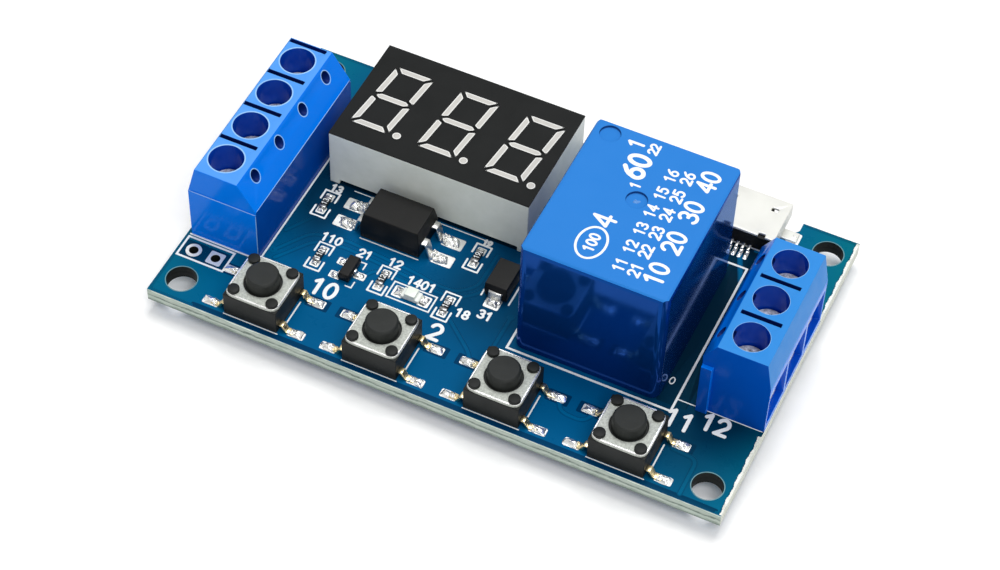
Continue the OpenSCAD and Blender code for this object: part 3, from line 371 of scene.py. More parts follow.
    def bead(self, start: Place, end: Place, radius: float, count: int = 8, stations: int = 15) -> None:
        """Adds a straight round bead: a circle across the line, carried along it and closed at both ends.

        At the share (1 - cos t) / 2 of the length its radius is radius (sin t)^0.3, so that the ends taper.

        Args:
            start: First end.
            end: Last end.
            radius: Radius in the middle.
            count: Points in one turn.
            stations: Circles along the line.
        """
        first, last = np.asarray(start, float), np.asarray(end, float)
        along = unit(last - first)
        across = unit(np.cross(along, np.eye(3)[np.argmin(np.abs(along))]))
        angle = np.linspace(0, 2 * np.pi, count, endpoint=False)[:, None]
        wheel = np.cos(angle) * across + np.sin(angle) * np.cross(along, across)
        t = np.linspace(0.0, np.pi, stations)[:, None, None]
        spine = first + (last - first) * (1 - np.cos(t)) / 2
        self.grid(spine + wheel[None] * radius * np.sin(t) ** 0.3, around=True)

    def piece(
        self, name: str, finish: Finish, slot: str, body: str = ROOT_BODY, angle: float = 40.0
    ) -> bpy.types.Object:
        """Makes the mesh object, merges its poles, turns its faces outwards and rides it on a body.

        Args:
            name: Name of the piece.
            finish: Finish of all its faces.
            slot: Not used.
            body: Body that it rides on.
            angle: Edges sharper than this many degrees stay crisp.

        Returns:
            The new object.
        """
        mesh = bpy.data.meshes.new(name)
        mesh.from_pydata((np.concatenate(self.points) * MM).tolist(), [], np.concatenate(self.quads).tolist())
        work = bmesh.new()
        work.from_mesh(mesh)
        bmesh.ops.remove_doubles(work, verts=work.verts, dist=POLE_GAP)
        bmesh.ops.dissolve_degenerate(work, edges=work.edges, dist=FLAT_GAP)
        bmesh.ops.recalc_face_normals(work, faces=work.faces)
        work.to_mesh(mesh)
        work.free()
        mesh.shade_smooth()
        mesh.set_sharp_from_angle(angle=math.radians(angle))
        mesh.materials.append(finish.material())
        made = bpy.data.objects.new(name, mesh)
        bpy.context.scene.collection.objects.link(made)
        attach(made, body)
        LOG.info("piece %s rides on %s with %d faces", name, body, len(mesh.polygons))
        return made


# Finishes


class Graph:
    """Adds nodes to one node tree and wires them."""

    def __init__(self, tree: bpy.types.NodeTree) -> None:
        """Keeps the tree that the nodes go into."""
        self.tree = tree

    def add(self, kind: str, **settings: object) -> bpy.types.Node:
        """Adds a node.

        Args:
            kind: Blender's name of the node type.
            **settings: Properties to set on it.

        Returns:
            The new node.
        """
        node = self.tree.nodes.new(kind)
        for key, value in settings.items():
            setattr(node, key, value)
        return node

    def feed(self, socket: bpy.types.NodeSocket, value: object) -> None:
        """Links an output to a socket, or sets the socket to a plain value.

        Args:
            socket: Input of a node.
            value: Output of another node, or a plain value.
        """
        if isinstance(value, bpy.types.NodeSocket):
            self.tree.links.new(value, socket)
        else:
            socket.default_value = value

    def place(self) -> bpy.types.NodeSocket:
        """Object coordinates of the shaded point."""
        return self.add("ShaderNodeTexCoord").outputs["Object"]

    def noise(
        self, vector: object, scale: object, detail: float = 3.0, roughness: float = 0.55
    ) -> bpy.types.NodeSocket:
        """Fractal noise between 0 and 1.

        Args:
            vector: Place to read it at.
            scale: Waves in a metre.
            detail: Octaves.
            roughness: Weight of the finer octaves.

        Returns:
            The noise value.
        """
        node = self.add("ShaderNodeTexNoise")
        self.feed(node.inputs["Vector"], vector)
        self.feed(node.inputs["Scale"], scale)
        node.inputs["Detail"].default_value = detail
        node.inputs["Roughness"].default_value = roughness
        return node.outputs[0]

    def spread(
        self, value: object, low: float, high: float, out_low: object = 0.0, out_high: object = 1.0
    ) -> bpy.types.NodeSocket:
        """Maps a value from low..high to another range, held at its ends.

        Args:
            value: Value to map.
            low: Value that gives out_low.
            high: Value that gives out_high.
            out_low: Result at low.
            out_high: Result at high.

        Returns:
            The mapped value.
        """
        node = self.add("ShaderNodeMapRange")
        names = ("Value", "From Min", "From Max", "To Min", "To Max")
        for name, item in zip(names, (value, low, high, out_low, out_high), strict=True):
            self.feed(node.inputs[name], item)
        return node.outputs[0]

    def sum(self, operation: str, first: object, second: object = 0.0) -> bpy.types.NodeSocket:
        """One Math node.

        Args:
            operation: Blender's name of the operation.
            first: First value.
            second: Second value.

        Returns:
            The result.
        """
        node = self.add("ShaderNodeMath", operation=operation)
        self.feed(node.inputs[0], first)
        self.feed(node.inputs[1], second)
        return node.outputs[0]

    def mix(self, share: object, first: object, second: object) -> bpy.types.NodeSocket:
        """Colour between two colours.

        Args:
            share: 0 gives the first and 1 the second.
            first: Colour or output.
            second: Colour or output.

        Returns:
            The mixed colour.
        """
        node = self.add("ShaderNodeMix", data_type="RGBA")
        self.feed(node.inputs[0], share)
        self.feed(node.inputs[6], first)
        self.feed(node.inputs[7], second)
        return node.outputs[2]

    def group(self, tree: bpy.types.NodeTree, **values: object) -> bpy.types.Node:
        """Places a node group with its own values.

        Args:
            tree: The group.
            **values: Value or output for each input, by name with spaces as underscores.

        Returns:
            The group node.
        """
        node = self.add("ShaderNodeGroup", node_tree=tree)
        for key, value in values.items():
            self.feed(node.inputs[key.replace("_", " ")], value)
        return node


class Effects:
    """Shader node groups that several finishes share, each built once."""

    made: dict[str, bpy.types.NodeTree] = {}

    @classmethod
    def start(
        cls, name: str, inputs: dict[str, str], outputs: dict[str, str]
    ) -> tuple[Graph, bpy.types.Node, bpy.types.Node]:
        """Makes an empty group with its sockets.

        Args:
            name: Name of the group.
            inputs: Socket type of each input.
            outputs: Socket type of each output.

        Returns:
            The group's graph, its input node and its output node.
        """
        tree = bpy.data.node_groups.new(name, "ShaderNodeTree")
        for way, sockets in (("INPUT", inputs), ("OUTPUT", outputs)):
            for key, kind in sockets.items():
                tree.interface.new_socket(name=key, in_out=way, socket_type=f"NodeSocket{kind}")
        graph = Graph(tree)
        cls.made[name] = tree
        return graph, graph.add("NodeGroupInput"), graph.add("NodeGroupOutput")

    @classmethod
    def grain(cls) -> bpy.types.NodeTree:
        """Fine relief: fractal noise over the stretched place, as a height between 0 and 1."""
        if "surface_grain" not in cls.made:
            sockets = {"Scale": "Float", "Stretch": "Vector"}
            graph, into, out = cls.start("surface_grain", sockets, {"Height": "Float"})
            scaled = graph.add("ShaderNodeVectorMath", operation="MULTIPLY")
            graph.feed(scaled.inputs[0], graph.place())
            graph.feed(scaled.inputs[1], into.outputs["Stretch"])
            graph.feed(out.inputs["Height"], graph.noise(scaled.outputs[0], into.outputs["Scale"], 4.0, 0.6))
        return cls.made["surface_grain"]

    @classmethod
    def drift(cls) -> bpy.types.NodeTree:
        """Slow change of colour: mixes a tint into a colour where soft noise is high."""
        if "tone_drift" not in cls.made:
            sockets = {"Color": "Color", "Tint": "Color", "Scale": "Float", "Share": "Float"}
            graph, into, out = cls.start("tone_drift", sockets, {"Color": "Color"})
            cloud = graph.spread(graph.noise(graph.place(), into.outputs["Scale"], 3.0, 0.6), 0.32, 0.68)
            share = graph.sum("MULTIPLY", cloud, into.outputs["Share"])
            graph.feed(out.inputs["Color"], graph.mix(share, into.outputs["Color"], into.outputs["Tint"]))
        return cls.made["tone_drift"]

    @classmethod
    def polish(cls) -> bpy.types.NodeTree:
        """Uneven polish: roughness that wanders between a low and a high value."""
        if "uneven_polish" not in cls.made:
            sockets = {"Low": "Float", "High": "Float", "Scale": "Float"}
            graph, into, out = cls.start("uneven_polish", sockets, {"Roughness": "Float"})
            cloud = graph.noise(graph.place(), into.outputs["Scale"], 4.0, 0.65)
            rough = graph.spread(cloud, 0.3, 0.7, into.outputs["Low"], into.outputs["High"])
            graph.feed(out.inputs["Roughness"], rough)
        return cls.made["uneven_polish"]


@dataclass(frozen=True)
class Finish:
    """One surface finish: two tones that drift, uneven polish and a fine relief.

    Scales are waves in a metre and depth is millimetres.
    """

    name: str
    base: Colour
    tint: Colour
    low: float
    high: float
    metallic: float = 0.0
    specular: float = 0.4
    gloss_tint: Colour = (1.0, 1.0, 1.0)
    coat: float = 0.0
    grain: float = 5000.0
    depth: float = 0.004
    stretch: Colour = (1.0, 1.0, 1.0)
    drift: float = 180.0
    share: float = 0.6
    polish: float = 400.0

    def colour(self, graph: Graph) -> bpy.types.NodeSocket:
        """Base colour of a point: the base drifting towards the tint."""
        tones = {"Color": (*self.base, 1.0), "Tint": (*self.tint, 1.0)}
        return graph.group(Effects.drift(), **tones, Scale=self.drift, Share=self.share).outputs["Color"]

    def material(self) -> bpy.types.Material:
        """The node material of this finish, made at its first use."""
        found = bpy.data.materials.get(self.name)
        if found is not None and found.get("timer_finish"):
            return found
        made = bpy.data.materials.new(self.name)
        made["timer_finish"] = True
        made.use_nodes = True
        graph = Graph(made.node_tree)
        shader = made.node_tree.nodes["Principled BSDF"]
        shader.inputs["Metallic"].default_value = self.metallic
        shader.inputs["Specular IOR Level"].default_value = self.specular
        shader.inputs["Specular Tint"].default_value = (*self.gloss_tint, 1.0)
        shader.inputs["Coat Weight"].default_value = self.coat
        shader.inputs["Coat Roughness"].default_value = COAT_ROUGHNESS
        graph.feed(shader.inputs["Base Color"], self.colour(graph))
        polish = graph.group(Effects.polish(), Low=self.low, High=self.high, Scale=self.polish)
        graph.feed(shader.inputs["Roughness"], polish.outputs["Roughness"])
        relief = graph.group(Effects.grain(), Scale=self.grain, Stretch=self.stretch)
        bump = graph.add("ShaderNodeBump")
        bump.inputs["Strength"].default_value = BUMP_STRENGTH
        bump.inputs["Distance"].default_value = self.depth * MM
        graph.feed(bump.inputs["Height"], relief.outputs["Height"])
        graph.feed(shader.inputs["Normal"], bump.outputs["Normal"])
        return made


@dataclass(frozen=True)
class MaskFinish(Finish):
    """Solder mask over copper: greener towards the board's two ends, and darkened by painted shade in spots.

    Each spot of painted shade is an oval with its middle, its radii and its most share.
    """

    specular: float = 0.16
    gloss_tint: Colour = MASK_GLOSS
    end_tone: Colour = (0.0, 0.15, 0.19)
    end_share: float = 0.9
    front_share: float = 0.5
    reach: Point = (20.0, 31.5)
    depth_y: Point = (-19.0, 19.0)
    # Painted shade: dark ovals on the top of the board near the relay, the blocks and the display.
    shade_tone: Colour = (0.0005, 0.02, 0.05)
    shade_spots: tuple[tuple[Point, Point, float], ...] = (
        ((25.0, -5.5), (9.0, 12.5), 0.9),
        ((-20.5, 1.5), (4.5, 9.0), 0.9),
        ((1.0, -4.0), (8.5, 8.0), 0.6),
    )
    spot_edge: Point = (0.5, 1.2)

    def colour(self, graph: Graph) -> bpy.types.NodeSocket:
        """Drifting blue that turns to the end tone along x, more so at the back, and darkened by painted
        shade in the oval spots.

        The painted shade falls from the middle of a spot outwards with the length of (place - middle) /
        radii, and from the top face down to nothing on the underside.

        Args:
            graph: The material's graph.

        Returns:
            The colour.
        """
        axes, place = graph.add("ShaderNodeSeparateXYZ"), graph.place()
        graph.feed(axes.inputs[0], place)
        away = graph.sum("ABSOLUTE", axes.outputs["X"])
        share = graph.spread(away, self.reach[0] * MM, self.reach[1] * MM, 0.0, self.end_share)
        front, rear = (y * MM for y in self.depth_y)
        back = graph.spread(axes.outputs["Y"], front, rear, self.front_share, 1.0)
        tone = graph.mix(graph.sum("MULTIPLY", share, back), super().colour(graph), (*self.end_tone, 1.0))
        upper = graph.spread(axes.outputs["Z"], 0.0, BOARD_TOP * MM)
        for middle, radii, most in self.shade_spots:
            oval = graph.add("ShaderNodeMapping")
            oval.inputs["Scale"].default_value = (1 / (radii[0] * MM), 1 / (radii[1] * MM), 0.0)
            oval.inputs["Location"].default_value = (-middle[0] / radii[0], -middle[1] / radii[1], 0.0)
            graph.feed(oval.inputs["Vector"], place)
            length = graph.add("ShaderNodeVectorMath", operation="LENGTH")
            graph.feed(length.inputs[0], oval.outputs[0])
            inner = graph.spread(length.outputs["Value"], *self.spot_edge, most, 0.0)
            painted_shade = graph.sum("MULTIPLY", upper, inner)
            tone = graph.mix(painted_shade, tone, (*self.shade_tone, 1.0))
        return tone


@dataclass(frozen=True)
class LaminateFinish(Finish):
    """Cut edge of glass laminate: light and dark layers over the height, which wander along the edge.

    Each layer is a share of the height and the share of the base colour there.
    """

    band: Colour = (0.2, 0.26, 0.2)
    fibres: float = 2600.0
    lengthen: Place = (0.25, 0.25, 1.0)
    wander: float = 0.5
    layers: tuple[Point, ...] = (
        (0.0, 0.15), (0.14, 0.35), (0.3, 0.75), (0.42, 0.6), (0.5, 0.05), (0.58, 0.55), (0.74, 0.7),
        (0.86, 0.5), (0.94, 1.0),
    )

    def colour(self, graph: Graph) -> bpy.types.NodeSocket:
        """Drifting base mixed with the band by layer: the height's share, moved by lengthened noise.

        Args:
            graph: The material's graph.

        Returns:
            The colour.
        """
        axes, flat = graph.add("ShaderNodeSeparateXYZ"), graph.add("ShaderNodeMapping")
        place = graph.place()
        flat.inputs["Scale"].default_value = self.lengthen
        graph.feed(axes.inputs[0], place)
        graph.feed(flat.inputs["Vector"], place)
        cloud = graph.sum("SUBTRACT", graph.noise(flat.outputs[0], self.fibres, 4.0, 0.65), 0.5)
        height = graph.spread(axes.outputs["Z"], 0.0, BOARD_TOP * MM)
        ramp = graph.add("ShaderNodeValToRGB")
        graph.feed(ramp.inputs[0], graph.sum("ADD", height, graph.sum("MULTIPLY", cloud, self.wander)))
        stops = ramp.color_ramp.elements
        stops.remove(stops[1])
        for count, (share, tone) in enumerate(self.layers):
            stop = stops[0] if count == 0 else stops.new(share)
            stop.position, stop.color = share, (tone, tone, tone, 1.0)
        return graph.mix(ramp.outputs["Color"], (*self.band, 1.0), super().colour(graph))


@dataclass(frozen=True)
class WindingFinish(Finish):
    """Enamelled wire wound in level turns: a wave over the height, darker between the turns."""

    turns: float = 5200.0
    between: Colour = (0.12, 0.03, 0.01)

    def colour(self, graph: Graph) -> bpy.types.NodeSocket:
        """Drifting copper that darkens between the turns of wire.

        Args:
            graph: The material's graph.

        Returns:
            The colour.
        """
        axes = graph.add("ShaderNodeSeparateXYZ")
        graph.feed(axes.inputs[0], graph.place())
        wave = graph.sum("SINE", graph.sum("MULTIPLY", axes.outputs["Z"], 2 * math.pi * self.turns))
        groove = graph.spread(wave, -1.0, 0.2, 1.0, 0.0)
        return graph.mix(groove, super().colour(graph), (*self.between, 1.0))


MASK = MaskFinish(
    "mask_blue", (0.0, 0.094, 0.245), (0.0, 0.08, 0.215), 0.24, 0.38, grain=2600.0, depth=0.006,
    drift=120.0,
)
MASK_GAP = MaskFinish(
    "mask_gap", (0.0, 0.07, 0.19), (0.0, 0.062, 0.17), 0.26, 0.4, end_tone=(0.0, 0.105, 0.14),
)
MASK_BARE = MaskFinish(
    "mask_bare", (0.0, 0.036, 0.11), (0.0, 0.028, 0.09), 0.28, 0.4, end_tone=(0.0, 0.04, 0.07),
)
# Near-black mask laid as painted shade where the board lies in shadow.
MASK_SHADE = Finish(
    "mask_painted_shade", (0.0005, 0.017, 0.04), (0.0005, 0.013, 0.032), 0.28, 0.4, specular=0.12,
    gloss_tint=MASK_GLOSS,
)
MASK_TRACE = MaskFinish(
    "mask_trace", (0.0, 0.112, 0.275), (0.0, 0.1, 0.25), 0.22, 0.34, end_tone=(0.0, 0.18, 0.24),
)
LAMINATE = LaminateFinish(
    "laminate_edge", (0.66, 0.77, 0.68), (0.86, 0.93, 0.84), 0.6, 0.8, specular=0.25, grain=2600.0,
    depth=0.05, stretch=(0.3, 0.3, 1.0), drift=700.0, band=(0.1, 0.145, 0.12),
)
# Cut laminate at the scored ends: rough, and painted pale as painted light where light from the right falls
# on it.
LAMINATE_SCORED_LIT = LaminateFinish(
    "laminate_scored_lit", (0.95, 0.96, 0.9), (0.78, 0.81, 0.7), 0.6, 0.8, specular=0.25, grain=2200.0,
    depth=0.08, drift=1600.0, band=(0.5, 0.53, 0.43), wander=0.9,
)
HOLE_LIP = Finish("hole_lip", (0.16, 0.34, 0.36), (0.06, 0.2, 0.24), 0.3, 0.45, drift=900.0)
# Drilled laminate painted near black inside the holes: painted shade.
HOLE_WALL_SHADE = LaminateFinish(
    "drilled_wall_shade", (0.013, 0.017, 0.016), (0.03, 0.035, 0.032), 0.5, 0.7, specular=0.15,
    band=(0.006, 0.008, 0.008),
)
PRINT_INK = Finish(
    "print_ink", (0.95, 0.96, 0.95), (0.8, 0.84, 0.85), 0.45, 0.6, grain=9000.0, depth=0.006, drift=900.0,
    share=0.5,
)
# Lit and shaded copies of the relay's blue: the matte top painted lighter and the polished sides darker, as
# painted light and shade.
RELAY_TOP_LIT = Finish(
    "relay_matte_lit", (0.021, 0.205, 0.64), (0.028, 0.225, 0.68), 0.5, 0.62, specular=0.12, grain=7000.0,
    depth=0.006, drift=90.0,
)
RELAY_GATE = Finish(
    "relay_gate", (0.12, 0.32, 0.72), (0.05, 0.2, 0.55), 0.6, 0.75, grain=4000.0, depth=0.03,
    drift=2500.0,
)
RELAY_SIDE_SHADED = Finish(
    "relay_polished_shaded", (0.0015, 0.052, 0.27), (0.0012, 0.044, 0.235), 0.06, 0.12, metallic=0.55,
    specular=0.2, gloss_tint=(0.22, 0.5, 1.0), grain=500.0, drift=90.0,
)
# Dark blue of the relay's base, also laid on the dimple walls of the cover as painted shade.
RELAY_BASE_AND_DIMPLE_SHADE = Finish("relay_base", (0.002, 0.05, 0.22), (0.001, 0.04, 0.19), 0.3, 0.42)
# Paler matte blue, painted light: the top, the ledges and the outer slope of a block, lighter where light
# falls on them.
TERMINAL_TOP_LIT = Finish(
    "terminal_matte_lit", (0.055, 0.3, 0.86), (0.075, 0.34, 0.9), 0.4, 0.52, grain=6500.0, depth=0.008,
    drift=90.0,
)
# Pale blue of the beads and hoops: painted highlights along creases and round holes and vents.
TERMINAL_HIGHLIGHT = Finish("terminal_painted_highlight", (0.34, 0.6, 0.95), (0.2, 0.48, 0.9), 0.25, 0.4)
TERMINAL_SIDE = Finish(
    "terminal_polished", (0.0004, 0.2, 0.9), (0.0004, 0.185, 0.85), 0.1, 0.18, specular=0.14,
    gloss_tint=(0.2, 0.65, 1.0), grain=900.0, drift=90.0,
)
# Darker copy of the polished blue for the inner walls and the output block's front end: painted shade.
TERMINAL_SHADED_WALL = Finish(
    "terminal_shaded_wall", (0.0006, 0.078, 0.46), (0.0006, 0.068, 0.41), 0.12, 0.2, specular=0.08,
    gloss_tint=(0.2, 0.65, 1.0), grain=900.0, drift=90.0,
)
# Near-black blue in the slots and vents: painted shade.
TERMINAL_SLOT_SHADE = Finish("terminal_slot_shade", (0.001, 0.017, 0.15), (0.001, 0.013, 0.12), 0.3, 0.42, specular=0.1)
# Darker copy of the lit top for the output block: painted shade.
OUTPUT_TOP_SHADED = Finish(
    "output_matte_shaded", (0.026, 0.25, 0.7), (0.034, 0.27, 0.74), 0.42, 0.54, specular=0.14, grain=6500.0,
    depth=0.008, drift=90.0,
)
# Deep blue in the driver holes and wire entries: painted shade.
TERMINAL_BORE_SHADE = Finish(
    "terminal_bore_shade", (0.002, 0.07, 0.55), (0.002, 0.055, 0.46), 0.1, 0.16, specular=0.3,
    gloss_tint=(0.25, 0.55, 1.0), grain=900.0,
)
DISPLAY_CASE = Finish(
    "display_case", (0.94, 0.985, 0.9), (0.82, 0.87, 0.78), 0.34, 0.5, grain=1400.0, depth=0.012,
    drift=420.0, share=0.7,
)
DISPLAY_FACE = Finish(
    "display_face", (0.009, 0.01, 0.01), (0.013, 0.014, 0.014), 0.5, 0.62, specular=0.12, grain=9000.0,
    depth=0.006,
)
SEGMENT = Finish(
    "segment_resin", (0.6, 0.585, 0.55), (0.52, 0.51, 0.48), 0.4, 0.55, grain=4000.0, depth=0.006,
    drift=900.0,
)
SEGMENT_RIM = Finish("segment_rim", (0.85, 0.85, 0.82), (0.78, 0.78, 0.75), 0.4, 0.5, drift=900.0)
SWITCH_BODY = Finish(
    "switch_body", (0.007, 0.0085, 0.008), (0.01, 0.012, 0.011), 0.42, 0.58, specular=0.22, grain=5200.0,
    depth=0.012,
)
BUTTON = Finish(
    "switch_button", (0.014, 0.016, 0.015), (0.019, 0.022, 0.02), 0.5, 0.64, specular=0.28, grain=6500.0,
    depth=0.008,
)
PLATE = Finish(
    "blasted_plate", (0.57, 0.6, 0.55), (0.3, 0.315, 0.29), 0.46, 0.6, metallic=0.25, specular=0.25,
    grain=7500.0, depth=0.02, drift=4200.0, share=0.75,
)
# Bright bead along each plate's outline: a painted highlight on its rim.
PLATE_RIM_HIGHLIGHT = Finish("plate_rim_highlight", (0.9, 0.9, 0.88), (0.8, 0.8, 0.78), 0.2, 0.32, metallic=0.9)
GOLD = Finish(
    "leg_gold", (0.72, 0.58, 0.3), (0.8, 0.72, 0.5), 0.2, 0.36, metallic=1.0, grain=3000.0, depth=0.01,
)
SOLDER = Finish(
    "bright_solder", (0.95, 0.95, 0.92), (0.78, 0.78, 0.75), 0.1, 0.28, metallic=0.85, grain=1100.0,
    depth=0.06, drift=1200.0, polish=1500.0,
)
PAD_TIN = Finish(
    "tinned_pad", (0.93, 0.93, 0.9), (0.76, 0.77, 0.74), 0.28, 0.45, metallic=0.5, grain=3500.0,
    depth=0.02, drift=1500.0,
)
LEAD_TIN = Finish(
    "tinned_lead", (0.76, 0.76, 0.74), (0.62, 0.62, 0.6), 0.22, 0.36, metallic=1.0, grain=4000.0,
    depth=0.01,
)
MOULDED_BLACK = Finish(
    "moulded_black", (0.0035, 0.0036, 0.0034), (0.007, 0.0068, 0.0062), 0.36, 0.52, specular=0.24,
    grain=5500.0, depth=0.014,
)
CHIP_BODY = Finish(
    "chip_glaze", (0.012, 0.013, 0.015), (0.018, 0.02, 0.022), 0.22, 0.36, specular=0.45, depth=0.006,
)
CHIP_END = Finish(
    "chip_end", (0.42, 0.42, 0.42), (0.24, 0.24, 0.25), 0.2, 0.34, metallic=1.0, grain=2500.0, depth=0.03,
    drift=2500.0,
)
CERAMIC_TAN = Finish("ceramic_tan", (0.4, 0.27, 0.15), (0.34, 0.22, 0.12), 0.4, 0.55, drift=900.0)
LED_BODY = Finish("light_body", (0.92, 0.94, 0.9), (0.82, 0.86, 0.79), 0.3, 0.45, drift=900.0)
LED_LENS = Finish("light_lens", (0.92, 0.96, 0.88), (0.8, 0.88, 0.76), 0.12, 0.22, coat=0.4, drift=1200.0)
SOCKET_METAL = Finish(
    "socket_plating", (0.8, 0.8, 0.745), (0.72, 0.72, 0.67), 0.3, 0.42, metallic=0.35, grain=2500.0,
    depth=0.01, stretch=(0.2, 1.0, 1.0),
)
# Pale plating of the screws and snap domes, with near-white flecks on a barely metallic surface as painted
# glints.
SCREW_METAL_GLINTS = Finish(
    "screw_plating_glints", (1.0, 1.0, 0.98), (0.3, 0.3, 0.3), 0.16, 0.36, metallic=0.08, grain=1500.0,
    depth=0.12, drift=2300.0, share=1.0,
)
CONTACT_TIN = Finish(
    "contact_tin", (0.84, 0.84, 0.82), (0.74, 0.74, 0.72), 0.24, 0.36, metallic=0.85,
    stretch=(1.0, 0.2, 1.0), depth=0.01,
)
IRON = Finish("plated_iron", (0.5, 0.5, 0.48), (0.42, 0.42, 0.41), 0.3, 0.45, metallic=1.0, depth=0.012)
COPPER_WIRE = WindingFinish("copper_wire", (0.62, 0.24, 0.1), (0.55, 0.2, 0.08), 0.2, 0.34, metallic=1.0)
BLADE_COPPER = Finish(
    "blade_copper", (0.7, 0.34, 0.18), (0.62, 0.28, 0.14), 0.24, 0.38, metallic=1.0,
    stretch=(1.0, 0.15, 1.0), depth=0.01,
)
BOBBIN = Finish("bobbin_nylon", (0.7, 0.68, 0.6), (0.62, 0.6, 0.52), 0.4, 0.55)


# Carried-over CAD nodes


@dataclass
class CadNode:
    """One CAD node of the frame: its finishes by face and the modifiers that soften its edges."""

    name: str
    source: bpy.types.Object

    def faces(self) -> tuple[np.ndarray, np.ndarray]:
        """Middle of each face in millimetres, and its outward direction.

        Returns:
            Two arrays of three numbers for each face.
        """
        polygons = self.source.data.polygons
        centre, normal = np.zeros(len(polygons) * 3), np.zeros(len(polygons) * 3)
        polygons.foreach_get("center", centre)
        polygons.foreach_get("normal", normal)
        return centre.reshape(-1, 3) / MM, normal.reshape(-1, 3)

    def points(self) -> np.ndarray:
        """Places of the vertices in millimetres."""
        co = np.zeros(len(self.source.data.vertices) * 3)
        self.source.data.vertices.foreach_get("co", co)
        return co.reshape(-1, 3) / MM

    def paint(self, *finishes: Finish, pick: Picker | None = None) -> CadNode:
        """Gives the node its finishes.

        Args:
            *finishes: One finish for each material index.
            pick: Gives the index of each face from the faces' middles and directions.

        Returns:
            This node.
        """
        mesh = self.source.data
        mesh.materials.clear()
        for finish in finishes:
            mesh.materials.append(finish.material())
        index = np.zeros(len(mesh.polygons), np.int32)
        if pick is not None:
            index = np.ascontiguousarray(pick(*self.faces()), np.int32)
        mesh.polygons.foreach_set("material_index", index)
        return self

    def soften(self, width: float, segments: int = 2, angle: float = 32.0) -> CadNode:
        """Joins the loose triangles and rounds the sharp edges.

        Args:
            width: Width of the rounding in millimetres.
            segments: Faces across it.
            angle: Edges sharper than this many degrees are rounded.

        Returns:
            This node.
        """
        mesh = self.source.data
        mesh.polygons.foreach_set("use_smooth", np.ones(len(mesh.polygons), bool))
        weld = self.source.modifiers.new("join", "WELD")
        weld.merge_threshold = WELD_GAP
        bevel = self.source.modifiers.new("round", "BEVEL")
        bevel.limit_method = "ANGLE"
        bevel.angle_limit = math.radians(angle)
        bevel.width = width * MM
        bevel.segments = segments
        bevel.use_clamp_overlap = False
        bevel.loop_slide = False
        bevel.miter_outer = "MITER_ARC"
        shade = self.source.modifiers.new("shade", "WEIGHTED_NORMAL")
        shade.mode = "FACE_AREA"
        shade.weight = 80
        LOG.info("node %s softened by %.3f mm", self.name, width)
        return self


@dataclass
class Frame:
    """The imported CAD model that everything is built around."""

    nodes: dict[str, bpy.types.Object]

    def node(self, name: str) -> CadNode:
        """The CAD node of a name."""
        return CadNode(name, self.nodes[name])

    def box(self, name: str) -> tuple[np.ndarray, np.ndarray]:
        """Lowest and highest corner of a node in millimetres."""
        low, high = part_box(name)
        return np.array(low) / MM, np.array(high) / MM


# Board art: what lies flat on the board


class Numerals:
    """Single-stroke numerals on a cell 0.56 wide and 1 high."""

    advance = 0.8

    def __init__(self) -> None:
        """Works out the strokes of the ten numerals from straight legs and ellipse arcs."""
        line, ring = self.line, self.ring
        bowl = arc((0.28, 0.3), (0.28, 0.3), 0, 360, 29)[:-1]
        stem = eased([(0.5, 1.0), (0.12, 0.72), (0.02, 0.36)], 0.3)
        hook = np.vstack([arc((0.28, 0.7), (0.28, 0.3), 165, -35, 16), [(0.0, 0.0)]])
        far = np.array([0.56, 1.0])
        self.strokes: dict[str, list[Stroke]] = {
            " ": [],
            "0": [ring((0.28, 0.5), (0.28, 0.5), 32)],
            "1": [line((0.32, 1.0), (0.32, 0.0)), line((0.08, 0.8), (0.32, 1.0))],
            "2": [(hook, False), line((0.0, 0.0), (0.58, 0.0))],
            "3": [
                (arc((0.26, 0.75), (0.25, 0.25), 150, -90, 14), False),
                (arc((0.26, 0.26), (0.3, 0.26), 90, -150, 16), False),
            ],
            "4": [
                line((0.43, 0.0), (0.43, 1.0)),
                line((0.43, 1.0), (0.0, 0.3)),
                line((0.0, 0.3), (0.6, 0.3)),
            ],
            "5": [
                line((0.52, 1.0), (0.1, 1.0)),
                line((0.1, 1.0), (0.07, 0.57)),
                (arc((0.27, 0.32), (0.29, 0.32), 132, -145, 18), False),
            ],
            "6": [(stem, False), (bowl, True)],
            "7": [line((0.0, 1.0), (0.56, 1.0)), line((0.56, 1.0), (0.2, 0.0))],
            "8": [ring((0.28, 0.75), (0.23, 0.25), 24), ring((0.28, 0.26), (0.28, 0.26), 28)],
            "9": [(far - stem, False), (far - bowl, True)],
        }

    @staticmethod
    def line(*points: Point) -> Stroke:
        """An open stroke through points."""
        return np.array(points), False

    @staticmethod
    def ring(middle: Point, radii: Point, count: int) -> Stroke:
        """A closed stroke round a whole ellipse, with count points."""
        return arc(middle, radii, 0, 360, count + 1)[:-1], True

    def lines(self, text: str, start: Point, height: float, along: Point = (1.0, 0.0)) -> Iterator[Stroke]:
        """Strokes of a number, set from a starting point.

        Args:
            text: Numerals to set.
            start: Foot of the first numeral.
            height: Height of the numerals.
            along: Direction in which the number reads.

        Yields:
            Points of each stroke, and whether it comes back to its first point.
        """
        way = np.asarray(along, float)
        rise = np.array([-way[1], way[0]])
        for place, sign in enumerate(text):
            for stroke, closed in self.strokes[sign]:
                right, up = (stroke[:, :1] + self.advance * place) * height, stroke[:, 1:] * height
                yield np.asarray(start) + right * way + up * rise, closed


